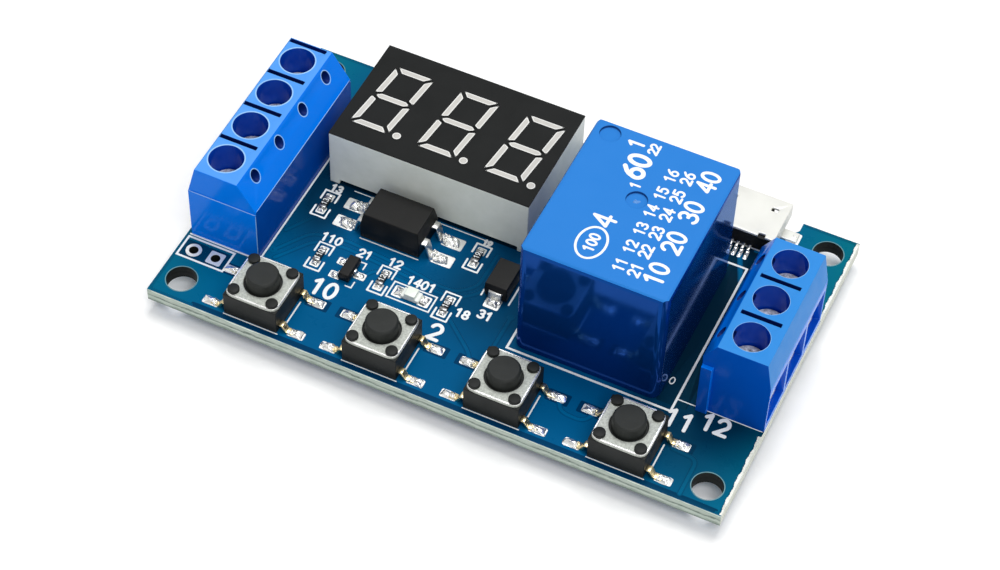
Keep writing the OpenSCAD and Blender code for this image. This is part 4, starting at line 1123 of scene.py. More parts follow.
@dataclass
class BoardArt:
    """Copper, print, pads and solder that the sub-assemblies leave on the board, and dark plates of painted
    shade.

    A rise is the thickness of a layer. Strokes of one layer differ a little in it, so that crossing strokes
    never lie in one plane.
    """

    numerals: Numerals = field(default_factory=Numerals)
    painted_shade: Patchwork = field(default_factory=Patchwork)
    gaps: Patchwork = field(default_factory=Patchwork)
    bare: Patchwork = field(default_factory=Patchwork)
    traces: Patchwork = field(default_factory=Patchwork)
    print: Patchwork = field(default_factory=Patchwork)
    pads: Patchwork = field(default_factory=Patchwork)
    solder: Patchwork = field(default_factory=Patchwork)
    window_rise: float = 0.006
    gap_rise: float = 0.011
    track_rise: float = 0.02
    ink_rise: float = 0.026
    pad_rise: float = 0.034
    solder_base: float = BOARD_TOP + 0.02
    track_bend: float = 0.9
    track_gap: float = 0.12
    seed: int = 11
    layer: int = 0

    def stagger(self, step: float, cycle: int) -> float:
        """Extra thickness of the next stroke: a step for each stroke so far, over and over in a cycle."""
        self.layer += 1
        return step * (self.layer % cycle)

    def trace(self, points: Sequence[Point], width: float = 0.36, face: Face = Face.TOP) -> None:
        """A copper track under the mask with its bare gap on both sides.

        Args:
            points: Corners of the track.
            width: Width of the copper.
            face: Side of the board.
        """
        path, step = eased(points, self.track_bend), self.stagger(0.0008, 7)
        self.gaps.ribbon(path, width + 2 * self.track_gap, face.height, (self.gap_rise + step) * face.outward)
        self.traces.ribbon(path, width, face.height, (self.track_rise + step) * face.outward)

    def window(self, centre: Point, half: Point) -> None:
        """A rectangle without copper on the top of the board."""
        self.bare.plate(centre, half, BOARD_TOP, self.window_rise + self.stagger(0.0006, 6), WINDOW_POWER)

    def shade_plate(self, low: Point, high: Point, rise: float) -> None:
        """A dark rectangle of painted shade laid on the board.

        Args:
            low: Its lowest corner.
            high: Its highest corner.
            rise: Thickness of the mask in it.
        """
        half = (np.asarray(high) - np.asarray(low)) / 2
        self.painted_shade.plate(tuple(np.asarray(low) + half), tuple(half), BOARD_TOP, rise, SHARP_POWER)

    def ink(self) -> float:
        """Thickness of the next printed stroke."""
        return self.ink_rise + self.stagger(0.0009, 9)

    def rule(self, points: Sequence[Point], width: float, closed: bool = False) -> None:
        """A printed line on the top of the board.

        Args:
            points: Corners of the line.
            width: Width of the line.
            closed: The line comes back to its first point.
        """
        self.print.ribbon(np.asarray(points, float), width, BOARD_TOP, self.ink(), closed=closed, caps=4)

    def number(self, text: str, start: Point, height: float = 1.0, width: float = 0.27) -> None:
        """A printed number on the top of the board.

        Args:
            text: Numerals to print.
            start: Foot of the first numeral.
            height: Height of the numerals.
            width: Width of the strokes.
        """
        for stroke, closed in self.numerals.lines(text, start, height):
            self.print.ribbon(stroke, width, BOARD_TOP, self.ink(), closed=closed)

    def pad(self, centre: Point, half: Point, power: float = 9.0) -> None:
        """A bare tinned pad on the top of the board."""
        self.pads.plate(centre, half, BOARD_TOP, self.pad_rise, power)

    def blob(self, centre: Point, half: Point, rise: float, power: float, lumps: float) -> None:
        """A mound of solder on the top of the board, each with its own lumps.

        Args:
            centre: Middle of the mound.
            half: Half widths of its foot.
            rise: Height of the mound.
            power: Shape of the foot.
            lumps: Share by which it wanders.
        """
        self.seed += 1
        self.solder.mound(centre, half, self.solder_base, rise, self.seed, power, lumps)

    def build(self) -> None:
        """Makes the pieces from what was collected."""
        self.painted_shade.piece("board_painted_shade", MASK_SHADE, "board")
        self.gaps.piece("board_track_gaps", MASK_GAP, "board")
        self.bare.piece("board_bare_windows", MASK_BARE, "board")
        self.traces.piece("board_tracks", MASK_TRACE, "board")
        self.print.piece("board_print", PRINT_INK, "board")
        self.pads.piece("board_pads", PAD_TIN, "solder")
        self.solder.piece("board_solder", SOLDER, "solder", angle=75.0)


# Sub-assemblies


@dataclass
class Assembly:
    """A sub-assembly: the frame with its CAD nodes, and the art that collects what it leaves on the board."""

    frame: Frame
    art: BoardArt


@dataclass
class CircuitBoard(Assembly):
    """The board with its tracks, header holes, fixing holes and solder joints underneath.

    Each pin is the place and the tip radius of one solder joint.
    """

    pins: tuple[Place, ...]
    half: Point = (31.5, 19.0)
    fixing: Point = (29.0, 16.3)
    fixing_d: float = 3.2
    fixing_lip: float = 0.1
    lip_rise: float = 0.012
    header: Pair = ((-29.75, -12.45), (-27.21, -12.45))
    header_d: float = 1.0
    header_pads: Pair = ((0.86, 2.0), (0.84, 12.0))  # half width and shape of each
    header_land: float = 0.88
    header_window: Point = (1.27, 1.1)
    header_box: Pair = ((-31.1, -13.62), (-25.78, -10.98))
    notch_x: float = 20.15
    notch_half: float = 5.3
    notch_y: float = 17.0
    hole_inset: float = 0.4
    end_inset: float = 0.1
    joint_drop: float = 1.52
    joint_flare: float = 0.52
    tip_share: float = 0.6
    tip_dome: float = 0.04
    land: float = 0.7
    land_rise: float = 0.03
    scored: Pair = ((-18.9, -8.6), (7.6, 18.9))
    scored_w: float = 0.26
    scored_inset: float = 0.005
    scored_rise: float = 0.014
    scored_waves: tuple[Place, ...] = ((0.05, 2.3, 0.0), (0.03, 6.1, 1.0), (0.016, 19.0, 2.0))
    edge_inset: float = 0.2
    edge_ends: Point = (25.6, 14.6)
    edge_gap: float = 0.34
    front_strip: Pair = ((2.2, 0.36), (28.8, 0.3))
    # Dark plates of painted shade: beside the relay towards the output block, and behind the relay.
    shade_plates: tuple[tuple[Point, Point, float], ...] = (
        ((20.3, -8.9), (23.6, 13.1), 0.003),
        ((16.0, 10.8), (22.0, 13.4), 0.004),
    )
    tracks: tuple[tuple[Point, ...], ...] = (
        (
            (-22.4, -8.6), (-20.0, -5.0), (-16.4, -4.3), (-8.0, -5.0), (-5.4, -5.5), (-3.2, -5.4),
            (-1.55, -3.8), (-1.5, 0.8),
        ),
        (
            (-21.9, -9.6), (-19.3, -5.9), (-16.2, -5.2), (-8.2, -5.85), (-5.4, -6.3), (-2.8, -6.2),
            (-0.9, -4.4), (-0.9, -3.2),
        ),
        ((-12.6, -7.9), (-11.9, -6.5), (-9.2, -6.5), (-7.0, -6.75)),
        ((-19.6, -1.9), (-20.6, -2.6), (-22.6, -5.8)),
        ((-2.3, -8.9), (1.2, -11.8), (1.7, -12.6)),
        ((26.9, -18.3), (26.9, -13.9), (24.2, -13.7)),
        ((11.9, -13.4), (12.6, -14.5), (15.0, -14.6), (15.7, -13.3)),
        ((3.2, -6.0), (3.2, -10.6), (3.9, -11.6)),
        ((23.4, -3.0), (23.4, 6.0), (22.4, 8.5), (20.8, 12.2)),
        ((-22.9, 11.6), (-22.4, 16.6), (-6.0, 17.0), (8.0, 17.0), (13.2, 14.6)),
        ((-24.9, 12.8), (-24.0, 17.6), (3.0, 17.9)),
    )
    vias: tuple[Point, ...] = ((-22.5, -8.7), (3.2, -6.0), (23.4, -3.0), (-25.0, -17.2))
    via: Point = (0.4, 0.15)  # outer and inner radius
    via_rise: float = 0.03
    under_w: float = 0.6
    long_track: tuple[Point, ...] = ((-24.0, 0.0), (-6.0, 0.0), (-4.0, 1.2), (22.0, 1.2))
    long_track_y: tuple[float, ...] = (-17.4, -11.2, 16.9)
    long_track_w: float = 0.5

    def dress(self) -> None:
        """Mask on the two faces, laminate on the cut edges and in the holes."""
        board = self.frame.node("circuit_board")
        board.paint(MASK, LAMINATE, HOLE_WALL_SHADE, LAMINATE_SCORED_LIT, pick=self.regions)

    def regions(self, centres: np.ndarray, normals: np.ndarray) -> np.ndarray:
        """0 for the masked faces, 1 for the routed edges, 2 for the holes' walls in painted shade, 3 for the
        scored ends painted lighter.

        Args:
            centres: Middles of the faces.
            normals: Directions of the faces.

        Returns:
            Material index of each face.
        """
        x, y = centres[:, 0], centres[:, 1]
        wall = np.abs(normals[:, 2]) < 0.5
        inside = np.all(np.abs(centres[:, :2]) < np.asarray(self.half) - self.hole_inset, axis=1)
        notch = (y > self.notch_y) & (np.abs(x - self.notch_x) < self.notch_half)
        scored = wall & (np.abs(x) > self.half[0] - self.end_inset)
        return wall.astype(np.int32) + (wall & inside & ~notch) + 2 * scored

    def draw(self) -> None:
        """Tracks, edge gap, header pads and the print that belongs to no other part."""
        x, y = self.half[0] - self.edge_inset, self.half[1] - self.edge_inset
        right, left = self.edge_ends
        edge = eased([(right, y), (x, y), (x, -y), (-x, -y), (-x, y), (left, y)], 0.5)
        self.art.gaps.ribbon(edge, self.edge_gap, BOARD_TOP, 0.005)
        for shade_plate in self.shade_plates:
            self.art.shade_plate(*shade_plate)
        for track in self.tracks:
            self.art.trace(track)
        for spot in self.vias:
            self.art.traces.washer(spot, (self.via[0],) * 2, self.via[1], BOARD_TOP, self.via_rise)
        hole = self.header_d / 2
        for place, (half, power) in zip(self.header, self.header_pads, strict=True):
            self.art.bare.washer(place, self.header_window, hole, BOARD_TOP, 0.008, power=WINDOW_POWER)
            self.art.pads.washer(place, (half, half), hole, BOARD_TOP, self.art.pad_rise, power=power)
        self.art.rule(box_path(*self.header_box), 0.24, closed=True)
        (strip_x, strip_y), strip_half = self.front_strip
        self.art.window((strip_x, strip_y - self.half[1]), strip_half)

    def build_lips(self) -> None:
        """A thin pale lip round each fixing hole, on both faces, and the scored lips beside the output block,
        a rough edge painted pale as a highlight.

        A scored lip is a flat strip whose inner edge wanders along y with waves swing sin(rate y + start).
        """
        lips, radius = Patchwork(), self.fixing_d / 2
        outer = radius + self.fixing_lip
        for side in SIGNS:
            for row in SIGNS:
                for face in Face:
                    place, rise = (side * self.fixing[0], row * self.fixing[1]), self.lip_rise * face.outward
                    lips.washer(place, (outer, outer), radius + HAIR, face.height, rise)
        lips.piece("fixing_lips", HOLE_LIP, "board")
        scored, outer = Patchwork(), self.half[0] - self.scored_inset
        for first, last in self.scored:
            y = np.linspace(first, last, 240)
            inner = np.full_like(y, outer - self.scored_w)
            for swing, rate, start in self.scored_waves:
                inner += swing * np.sin(rate * y + start)
            x = np.stack([inner, inner, np.full_like(y, outer), np.full_like(y, outer)], -1)
            z = np.broadcast_to(BOARD_TOP + self.scored_rise * STRIP_LEVELS, x.shape)
            scored.grid(np.stack([x, np.broadcast_to(y[:, None], x.shape), z], -1), around=True)
        scored.piece("scored_lit_lips", LAMINATE_SCORED_LIT, "board")

    def build_joints(self) -> None:
        """Solder fillets below the board, turned round each pin, and the lands that they stand on.

        At t of the way down the radius is tip + flare (1 - t^0.45) and the depth is drop t^1.15.
        """
        joints, lands = Patchwork(), Patchwork()
        t = np.linspace(0.0, 1.0, 12)
        flare, height = self.joint_flare * (1 - t**0.45), -self.joint_drop * t**1.15 - self.land_rise
        foot, dome = -HAIR, height[-1] - self.tip_dome
        for x, y, tip in self.pins:
            top = [(0.0, foot), (tip + self.joint_flare, foot)]
            end = [(self.tip_share * tip, dome), (0.0, dome)]
            joints.lathe((x, y), np.vstack([top, np.stack([tip + flare, height], -1), end]))
            lands.washer((x, y), (tip + self.land,) * 2, tip, 0.0, -self.land_rise)
        for place in self.header:
            lands.washer(place, (self.header_land,) * 2, self.header_d / 2, 0.0, -BoardArt.pad_rise)
        made = joints.piece("joint_fillets", SOLDER, "solder", angle=50.0)
        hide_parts("solder_joints")
        lands.piece("underside_lands", PAD_TIN, "solder")

    def build_underside(self) -> None:
        """Tracks on the underside: one for each pair of pins along x, and a few long ones."""
        under = BoardArt()
        pins = np.asarray(self.pins)[:, :2]
        order = pins[np.argsort(pins[:, 0], kind="stable")]
        for first, last in zip(order[:-1:2], order[1::2], strict=False):
            under.trace([tuple(first), (first[0], last[1]), tuple(last)], self.under_w, Face.UNDER)
        for y in self.long_track_y:
            under.trace(moved(self.long_track, (0.0, y)), self.long_track_w, Face.UNDER)
        under.gaps.piece("underside_gaps", MASK_GAP, "board")
        under.traces.piece("underside_tracks", MASK_TRACE, "board")


@dataclass
class Relay(Assembly):
    """The relay: blue cover with plain numbers printed on it, and the works inside."""

    top_depth: float = 0.5
    print_sink: float = 0.002
    print_rise: float = 0.014
    gate: Point = (12.7, 1.57)
    gate_half: Point = (0.42, 0.34)
    gate_depth: float = 0.3
    gate_rise: float = 0.08
    dimples: tuple[Point, ...] = ((6.88, 8.4), (12.705, 1.575))
    dimple_r: float = 1.1
    numbers: tuple[Number, ...] = (
        ("11 12 13 14 15 16", (15.05, -7.4), 1.05, 0.24),
        ("21 22 23 24 25 26", (16.65, -7.4), 1.08, 0.25),
        ("10 20 30 40", (19.0, -7.4), 1.8, 0.36),
        ("60", (12.0, 4.15), 2.1, 0.48),
        ("4", (12.0, -2.9), 2.2, 0.36),
        ("100", (11.47, -6.44), 1.0, 0.25),
        ("1", (10.5, 7.9), 1.5, 0.32),
        ("1", (12.3, 2.95), 0.95, 0.24),
        ("22", (12.1, 7.75), 0.92, 0.24),
    )
    oval: Pair = ((10.97, -5.36), (1.45, 2.05))
    oval_w: float = 0.26
    outline: Pair = ((4.42, -9.6), (22.25, 10.6))
    outline_w: float = 0.26
    pin_mark: Pair = ((20.95, -6.05), (0.24, 0.42))
    pin_mark_w: float = 0.14

    def dress(self) -> None:
        """Matte top and polished sides on the cover, the top painted lighter and the sides darker as painted
        light and shade, with painted shade on the dimple walls; metal finishes on the works.
        """
        cover = self.frame.node("relay_cover")
        cover.paint(RELAY_SIDE_SHADED, RELAY_TOP_LIT, RELAY_BASE_AND_DIMPLE_SHADE, pick=self.regions)
        cover.soften(0.05, segments=2, angle=50.0)
        for name, finish, width in (
            ("relay_base", RELAY_BASE_AND_DIMPLE_SHADE, 0.08),
            ("relay_yoke", IRON, 0.06),
            ("relay_core", IRON, 0.06),
            ("relay_bobbin", BOBBIN, 0.06),
            ("relay_coil", COPPER_WIRE, 0.05),
            ("relay_coil_pins", LEAD_TIN, 0.04),
            ("relay_break_contact", LEAD_TIN, 0.03),
            ("relay_make_contact", LEAD_TIN, 0.03),
            ("relay_armature", IRON, 0.06),
            ("relay_contact_blade", BLADE_COPPER, 0.02),
        ):
            self.frame.node(name).paint(finish).soften(width)

    def regions(self, centres: np.ndarray, normals: np.ndarray) -> np.ndarray:
        """0 for the sides, 1 for the top and the floors of its dimples, 2 for the walls of the dimples, which
        take painted shade.

        Args:
            centres: Middles of the faces.
            normals: Directions of the faces.

        Returns:
            Material index of each face.
        """
        high = centres[:, 2] > self.frame.box("relay_cover")[1][2] - self.top_depth
        away = np.linalg.norm(centres[:, None, :2] - np.asarray(self.dimples), axis=-1)
        flat = normals[:, 2] > 0.6
        wall = high & np.any(away < self.dimple_r + 0.05, axis=1) & ~flat
        return np.select([wall, high & flat], [2, 1], 0)

    def draw(self) -> None:
        """Printed outline round the relay and its mark for one pin."""
        self.art.rule(box_path(*self.outline), self.outline_w, closed=True)
        self.art.print.ribbon(arc(*self.pin_mark, 0, 345, 20), self.pin_mark_w, BOARD_TOP, 0.028)

    def build_print(self) -> None:
        """White numbers that read towards the back, one of them in an oval, and the mark in a dimple."""
        ink, numerals, high = Patchwork(), Numerals(), self.frame.box("relay_cover")[1][2]
        lines = [
            (stroke, width, closed)
            for number, foot, height, width in self.numbers
            for stroke, closed in numerals.lines(number, foot, height, (0.0, 1.0))
        ]
        lines.append((arc(*self.oval, 0, 360, 49)[:-1], self.oval_w, True))
        for count, (stroke, width, closed) in enumerate(lines):
            rise = self.print_rise + 0.0006 * (count % 9)
            ink.ribbon(stroke, width, high - self.print_sink, rise, closed=closed)
        ink.piece("relay_print", PRINT_INK, "relay_blue")
        gate = Patchwork()
        floor = high - self.gate_depth
        gate.mound(self.gate, self.gate_half, floor, self.gate_rise, seed=5, power=2.4, lumps=0.5)
        gate.piece("relay_gate_mark", RELAY_GATE, "relay_blue")


@dataclass
class Display(Assembly):
    """Three-digit display: pale case, black face, resin segments with bright rims."""

    rim: float = 0.11
    rim_rise: float = 0.01
    film: float = 0.24
    film_rise: float = 0.016
    corner: float = 0.12
    bar_corners: int = 12
    trim: float = 0.085
    shade_inset: float = 0.1
    line_ends: Point = (3.0, 4.3)
    line_gap: float = 0.15
    line_w: float = 0.13

    def dress(self) -> None:
        """Finishes of the case, face, segments and what sits inside."""
        self.frame.node("display_case").paint(DISPLAY_CASE).soften(0.1, segments=3)
        self.frame.node("display_face").paint(DISPLAY_FACE)
        self.frame.node("display_segments").paint(SEGMENT).soften(0.03, segments=1)
        self.frame.node("display_board").paint(MASK_BARE).soften(0.03, segments=1)
        self.frame.node("display_pins").paint(LEAD_TIN).soften(0.05)

    def build_rims(self) -> None:
        """A bright rim inside each opening and the film round it: strips along the outline of each top face.

        A bar's outline is that of the segments' node, a little shortened and with eased corners. The round
        points keep theirs.
        """
        segments = self.frame.node("display_segments")
        high = segments.points()[:, 2].max()
        rims, film = Patchwork(), Patchwork()
        for loop in self.outlines(segments.source.data):
            if len(loop) < self.bar_corners:
                loop = eased(self.shortened(loop), self.corner, 6, closed=True)
            rims.ribbon(self.inset(loop, self.rim / 2), self.rim, high, self.rim_rise, closed=True)
            film.ribbon(self.inset(loop, -self.film / 2), self.film, high, self.film_rise, closed=True)
        rims.piece("segment_rims", SEGMENT_RIM, "segment")
        film.piece("face_film", DISPLAY_FACE, "display_face")

    def draw(self) -> None:
        """Painted shade on the board under the display, and the printed line in front of it."""
        low, high = self.frame.box("display_case")
        self.art.shade_plate(low[:2] + self.shade_inset, high[:2] - self.shade_inset, 0.005)
        left, right = self.line_ends
        front = low[1] - self.line_gap
        self.art.rule([(low[0] + left, front), (high[0] - right, front)], self.line_w)

    def shortened(self, loop: np.ndarray) -> np.ndarray:
        """Outline of a bar with its points moved by the trim towards the middle, along the bar's long axis.

        Args:
            loop: Points round the bar.

        Returns:
            The moved points.
        """
        offset = loop - loop.mean(0)
        along = np.linalg.svd(offset, full_matrices=False)[2][0]
        return loop - np.outer(np.sign(offset @ along) * self.trim, along)

    @staticmethod
    def inset(loop: np.ndarray, by: float) -> np.ndarray:
        """Outline moved inwards along its mitres.

        Args:
            loop: Points round a convex outline.
            by: Distance inwards.

        Returns:
            The moved points.
        """
        _, side, narrow = mitres(loop, closed=True)
        inward = np.sign(np.sum((loop.mean(0) - loop) * side, axis=1))[:, None]
        return loop + side * inward * (by / narrow)[:, None]

    @staticmethod
    def outlines(mesh: bpy.types.Mesh) -> list[np.ndarray]:
        """Outline of each flat top face of a mesh of upright prisms.

        Args:
            mesh: Mesh of loose triangles.

        Returns:
            Points round each top face, in millimetres.
        """
        work = bmesh.new()
        work.from_mesh(mesh)
        bmesh.ops.remove_doubles(work, verts=work.verts, dist=WELD_GAP)
        bmesh.ops.dissolve_limit(work, angle_limit=math.radians(0.6), verts=work.verts, edges=work.edges)
        high = max(v.co.z for v in work.verts)
        tops = [f for f in work.faces if f.normal.z > 0.9 and abs(f.calc_center_median().z - high) < 1e-6]
        loops = [np.array([v.co.xy for v in f.verts]) / MM for f in tops]
        work.free()
        return loops


class Side(Enum):
    """The two terminal blocks, by the first word of their nodes' names."""

    INPUT = "input"
    OUTPUT = "output"


@dataclass
class TerminalBlock(Assembly):
    """One screw terminal block with its clamp boxes, pressure plates and screws.

    A light bead of painted highlight runs along each crease between two places, and the slope with the vents
    lies between two points in x and z. The feet of the numbers are taken from the block's front.
    """

    side: Side
    poles: int
    top: Finish = TERMINAL_TOP_LIT
    shaded_end: bool = False
    hoop_highlight: float = 0.15
    creases: tuple[tuple[Place, Place], ...] = ()
    slope: Pair | None = None
    numbers: tuple[Number, ...] = ()
    hole: float = 1.825
    hole_from: float = 6.7
    vent: float = 0.6
    vent_drop: float = 0.95
    vent_lip: float = 0.09
    ledge: float = 8.35
    slot_half: float = 0.24
    slot_reach: float = 2.2
    slot_depth: float = 0.9
    end_slot: float = 0.375
    entry_half: float = 2.25
    entry_reach: float = 2.6
    crease_r: float = 0.045
    hoop_rise: float = 0.016
    vent_gap: float = 0.02
    vent_rise: float = 0.014

    def name(self, part: str) -> str:
        """Name of a CAD node of this block."""
        return f"{self.side.value}_{part}"

    def dress(self) -> None:
        """Matte top and polished walls on the housing, with painted light on the top, ledges and outer slope
        and painted shade in the openings, slots and shaded walls; plating on the metal.
        """
        housing = self.frame.node(self.name("housing"))
        housing.paint(TERMINAL_SIDE, self.top, TERMINAL_BORE_SHADE, TERMINAL_SHADED_WALL, TERMINAL_SLOT_SHADE, pick=self.regions)
        housing.soften(0.06, segments=3)
        self.frame.node(self.name("contacts")).paint(CONTACT_TIN).soften(0.05)
        for pole in range(1, self.poles + 1):
            self.frame.node(self.name(f"clamp_{pole}")).paint(CONTACT_TIN).soften(0.05)
            self.frame.node(self.name(f"screw_{pole}")).paint(SCREW_METAL_GLINTS).soften(0.07, segments=3)

    def axes(self) -> np.ndarray:
        """Place of each screw's axis."""
        screws = [self.frame.box(self.name(f"screw_{pole}")) for pole in range(1, self.poles + 1)]
        return np.array([(low + high)[:2] / 2 for low, high in screws])

    def regions(self, centres: np.ndarray, normals: np.ndarray) -> np.ndarray:
        """0 for walls, 1 for top, ledges and outer slope with painted light, and painted shade at 2 in the
        openings, 3 on shaded walls and 4 in the slots.

        Args:
            centres: Middles of the faces.
            normals: Directions of the faces.

        Returns:
            Material index of each face.
        """
        low, high = self.frame.box(self.name("housing"))
        axes, outward = self.axes(), np.sign(low[0])
        x, y, z = centres.T
        facing, across, up = normals[:, 0] * outward, normals[:, 1], normals[:, 2]
        out = (x - axes[0, 0]) * outward
        side_gap = np.abs(y[:, None] - axes[:, 1])
        reach = np.hypot(x[:, None] - axes[:, 0], side_gap)
        vent_reach = np.hypot(side_gap, z[:, None] - (high[2] - self.vent_drop))
        rows = np.append((axes[1:, 1] + axes[:-1, 1]) / 2, high[1] - self.end_slot)

        top = (up > 0.9) & (z > high[2] - 0.1)
        ledge = (up > 0.9) & (np.abs(z - self.ledge) < 0.1)
        slope = (facing > 0.5) & (up > 0.1)
        slot = np.any(np.abs(y[:, None] - rows) < self.slot_half, axis=1) & ~top
        slot &= (np.abs(out) < self.slot_reach) & (z > high[2] - self.slot_depth)
        slot |= np.any(vent_reach < self.vent + 0.03, axis=1) & (np.abs(facing) < 0.5)
        bore = np.any(reach < self.hole + 0.1, axis=1) & (z > self.hole_from) & (np.abs(up) < 0.3)
        entry = np.any(side_gap < self.entry_half, axis=1) & (out > -self.entry_reach)
        entry &= (z > BOARD_TOP + 0.1) & (z < self.ledge - 0.2)
        front = (facing > 0.9) & (x * outward > np.abs([low[0], high[0]]).max() - 0.05)
        shaded_wall = (facing < -0.5) & (np.abs(up) < 0.3)
        shaded_wall |= self.shaded_end & (across < -0.9)
        return np.select([slot, top | ledge | slope, bore | (entry & ~front), shaded_wall], [4, 1, 2, 3], 0)

    def build_creases(self) -> None:
        """Painted highlights: light beads along the creases of the block, and a thin light hoop round each
        driver hole and vent.
        """
        beads, top = Patchwork(), self.frame.box(self.name("housing"))[1][2]
        outer = self.hole + self.hoop_highlight
        for axis in self.axes():
            beads.washer(tuple(axis), (outer, outer), self.hole + HAIR, top, self.hoop_rise)
            if self.slope is not None:
                beads.grid(self.vent_highlight_ring(axis[1], top - self.vent_drop), around=True, closed=True)
        for start, end in self.creases:
            beads.bead(start, end, self.crease_r)
        beads.piece(self.name("creases"), TERMINAL_HIGHLIGHT, "terminal_blue")

    def vent_highlight_ring(self, y: float, z: float) -> np.ndarray:
        """Thin ring of painted highlight on the slope: a circle across x, moved along x on to the slope and
        off it by the rise.

        Args:
            y: Place of the vent's axis.
            z: Height of the vent's axis.

        Returns:
            Four rings of points: inner and outer edge below, outer and inner edge above.
        """
        (x_0, z_0), (x_1, z_1) = self.slope
        out = unit(np.array([[z_0 - z_1, 0.0, x_1 - x_0]]))[0]
        radius = self.vent_lip * STRIP_LEVELS[:, None, None] + self.vent + self.vent_gap
        ring = np.array([y, z]) + superellipse((1.0, 1.0), 2.0) * radius
        x = x_0 + (ring[..., 1:] - z_0) * (x_1 - x_0) / (z_1 - z_0)
        return np.concatenate([x, ring], -1) + self.vent_rise * PLATE_LEVELS[:, None, None] * out

    def draw(self) -> None:
        """Printed outline of the block, and the numbers beside it."""
        low, high = self.frame.box(self.name("housing"))
        if self.side is Side.INPUT:
            front, inner = low[1] - 0.08, high[0] + 0.13
            self.art.rule([(-31.1, front), (inner, front), (inner, high[1])], 0.2)
        else:
            front = low[1] + 0.5
            self.art.rule([(22.25, front), (high[0] - 0.2, front)], 0.14)
        for number, (x, y), height, width in self.numbers:
            self.art.number(number, (x, low[1] + y), height, width)


INPUT_SLOPE = ((-25.3, 11.85), (-23.25, 8.7))
INPUT_CREASE_HIGHLIGHTS = (
    ((-31.0, -10.53, 8.36), (-23.3, -10.53, 8.36)),
    ((-23.27, -10.4, 8.7), (-23.27, 10.25, 8.7)),
    ((-23.28, -10.52, 8.3), (-23.28, -10.52, 1.7)),
)
OUTPUT_NUMBERS = (("11", (22.1, -2.8), 2.0, 0.4), ("12", (25.6, -1.7), 1.9, 0.42))


@dataclass
class PushSwitches(Assembly):
    """The row of four push switches with their plates, buttons, legs and pads."""

    centre_x: tuple[float, ...] = (-20.025, -6.675, 6.675, 20.025)
    centre_y: float = -15.25
    leg_y: float = 2.25
    leg_reach: float = 4.75
    plate_half: float = 2.95
    plate_hole: float = 1.975
    squareness: float = 7.5
    bead_inset: float = 0.13
    bead_w: float = 0.22
    bead_rise: float = 0.045
    numbers: tuple[str, ...] = ("10", "2", "", "")
    number_place: Point = (3.3, 3.3)
    number_size: Point = (1.9, 0.42)  # height, and width of the strokes
    pad_half: Point = (0.9, 0.5)
    window_half: Point = (1.25, 0.74)
    rules: tuple[tuple[Point, Point, float], ...] = (
        ((3.27, -1.5), (3.27, 1.6), 0.17),
        ((-3.0, -3.08), (3.1, -3.08), 0.13),
        ((-2.6, 3.2), (2.6, 3.2), 0.17),
    )

    def dress(self) -> None:
        """Finishes of bodies, plates, buttons, legs and snap domes."""
        for count in range(1, 5):
            self.frame.node(f"switch_base_{count}").paint(SWITCH_BODY).soften(0.09, segments=3)
            self.frame.node(f"switch_button_{count}").paint(BUTTON).soften(0.05, segments=3)
        self.frame.node("switch_legs").paint(GOLD).soften(0.05)
        self.frame.node("switch_domes").paint(SCREW_METAL_GLINTS)

    def build_plates(self) -> None:
        """Plate of each switch: rows run from the rounded square outline over a soft edge to the round hole.

        A row at share s is outline (1 - s) + hole circle s, and a bright bead of painted highlight follows
        the outline.
        """
        square = superellipse((self.plate_half,) * 2, self.squareness, 96)
        circle = superellipse((self.plate_hole,) * 2, 2.0, 96)
        line = superellipse((self.plate_half - self.bead_inset,) * 2, self.squareness, 96)
        share = np.array([0.0, 0.0, 0.012, 0.04, 0.35, 0.7, 0.96, 0.99, 1.0, 1.0])
        drop = np.array([0.25, 0.09, 0.03, 0.0, 0.0, 0.0, 0.0, 0.02, 0.07, 0.25])
        for count, x in enumerate(self.centre_x, start=1):
            middle = np.array([x, self.centre_y])
            top = self.frame.box(f"switch_cover_{count}")[1][2]
            plate, bead = Patchwork(), Patchwork()
            xy = middle + square * (1 - share)[:, None, None] + circle * share[:, None, None]
            plate.rings(xy, top - drop, closed=True)
            made = plate.piece(f"switch_plate_{count}", PLATE, "plated_metal")
            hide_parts(f"switch_cover_{count}")
            bead.ribbon(middle + line, self.bead_w, top - HAIR, self.bead_rise, closed=True)
            bead.piece(f"switch_plate_highlight_{count}", PLATE_RIM_HIGHLIGHT, "plated_metal")

    def draw(self) -> None:
        """Number, pads, solder, windows and outline of each switch."""
        for x, number in zip(self.centre_x, self.numbers, strict=True):
            middle = (x, self.centre_y)
            self.art.number(number, *moved([self.number_place], middle), *self.number_size)
            for side in SIGNS:
                for row in SIGNS:
                    foot = (x + side * (self.leg_reach + 0.1), self.centre_y + row * self.leg_y)
                    self.draw_foot(foot, side, row)
            for start, end, width in self.rules:
                self.art.rule(moved([start, end], middle), width)

    def draw_foot(self, foot: Point, side: float, row: float) -> None:
        """Pad and solder under one leg, with a bare window round the legs of the back row.

        Args:
            foot: Middle of the pad.
            side: -1 for a leg on the left and 1 for one on the right.
            row: -1 for a leg in front and 1 for one at the back.
        """
        x, y = foot
        if row > 0:
            self.art.window((x + side * 0.1, y), self.window_half)
        self.art.pad(foot, self.pad_half)
        self.art.blob((x + side * 0.05, y), (0.9, 0.54), 0.28, 4.0, 0.26)
        self.art.blob((x - side * 0.45, y), (0.42, 0.5), 0.4, 2.6, 0.3)


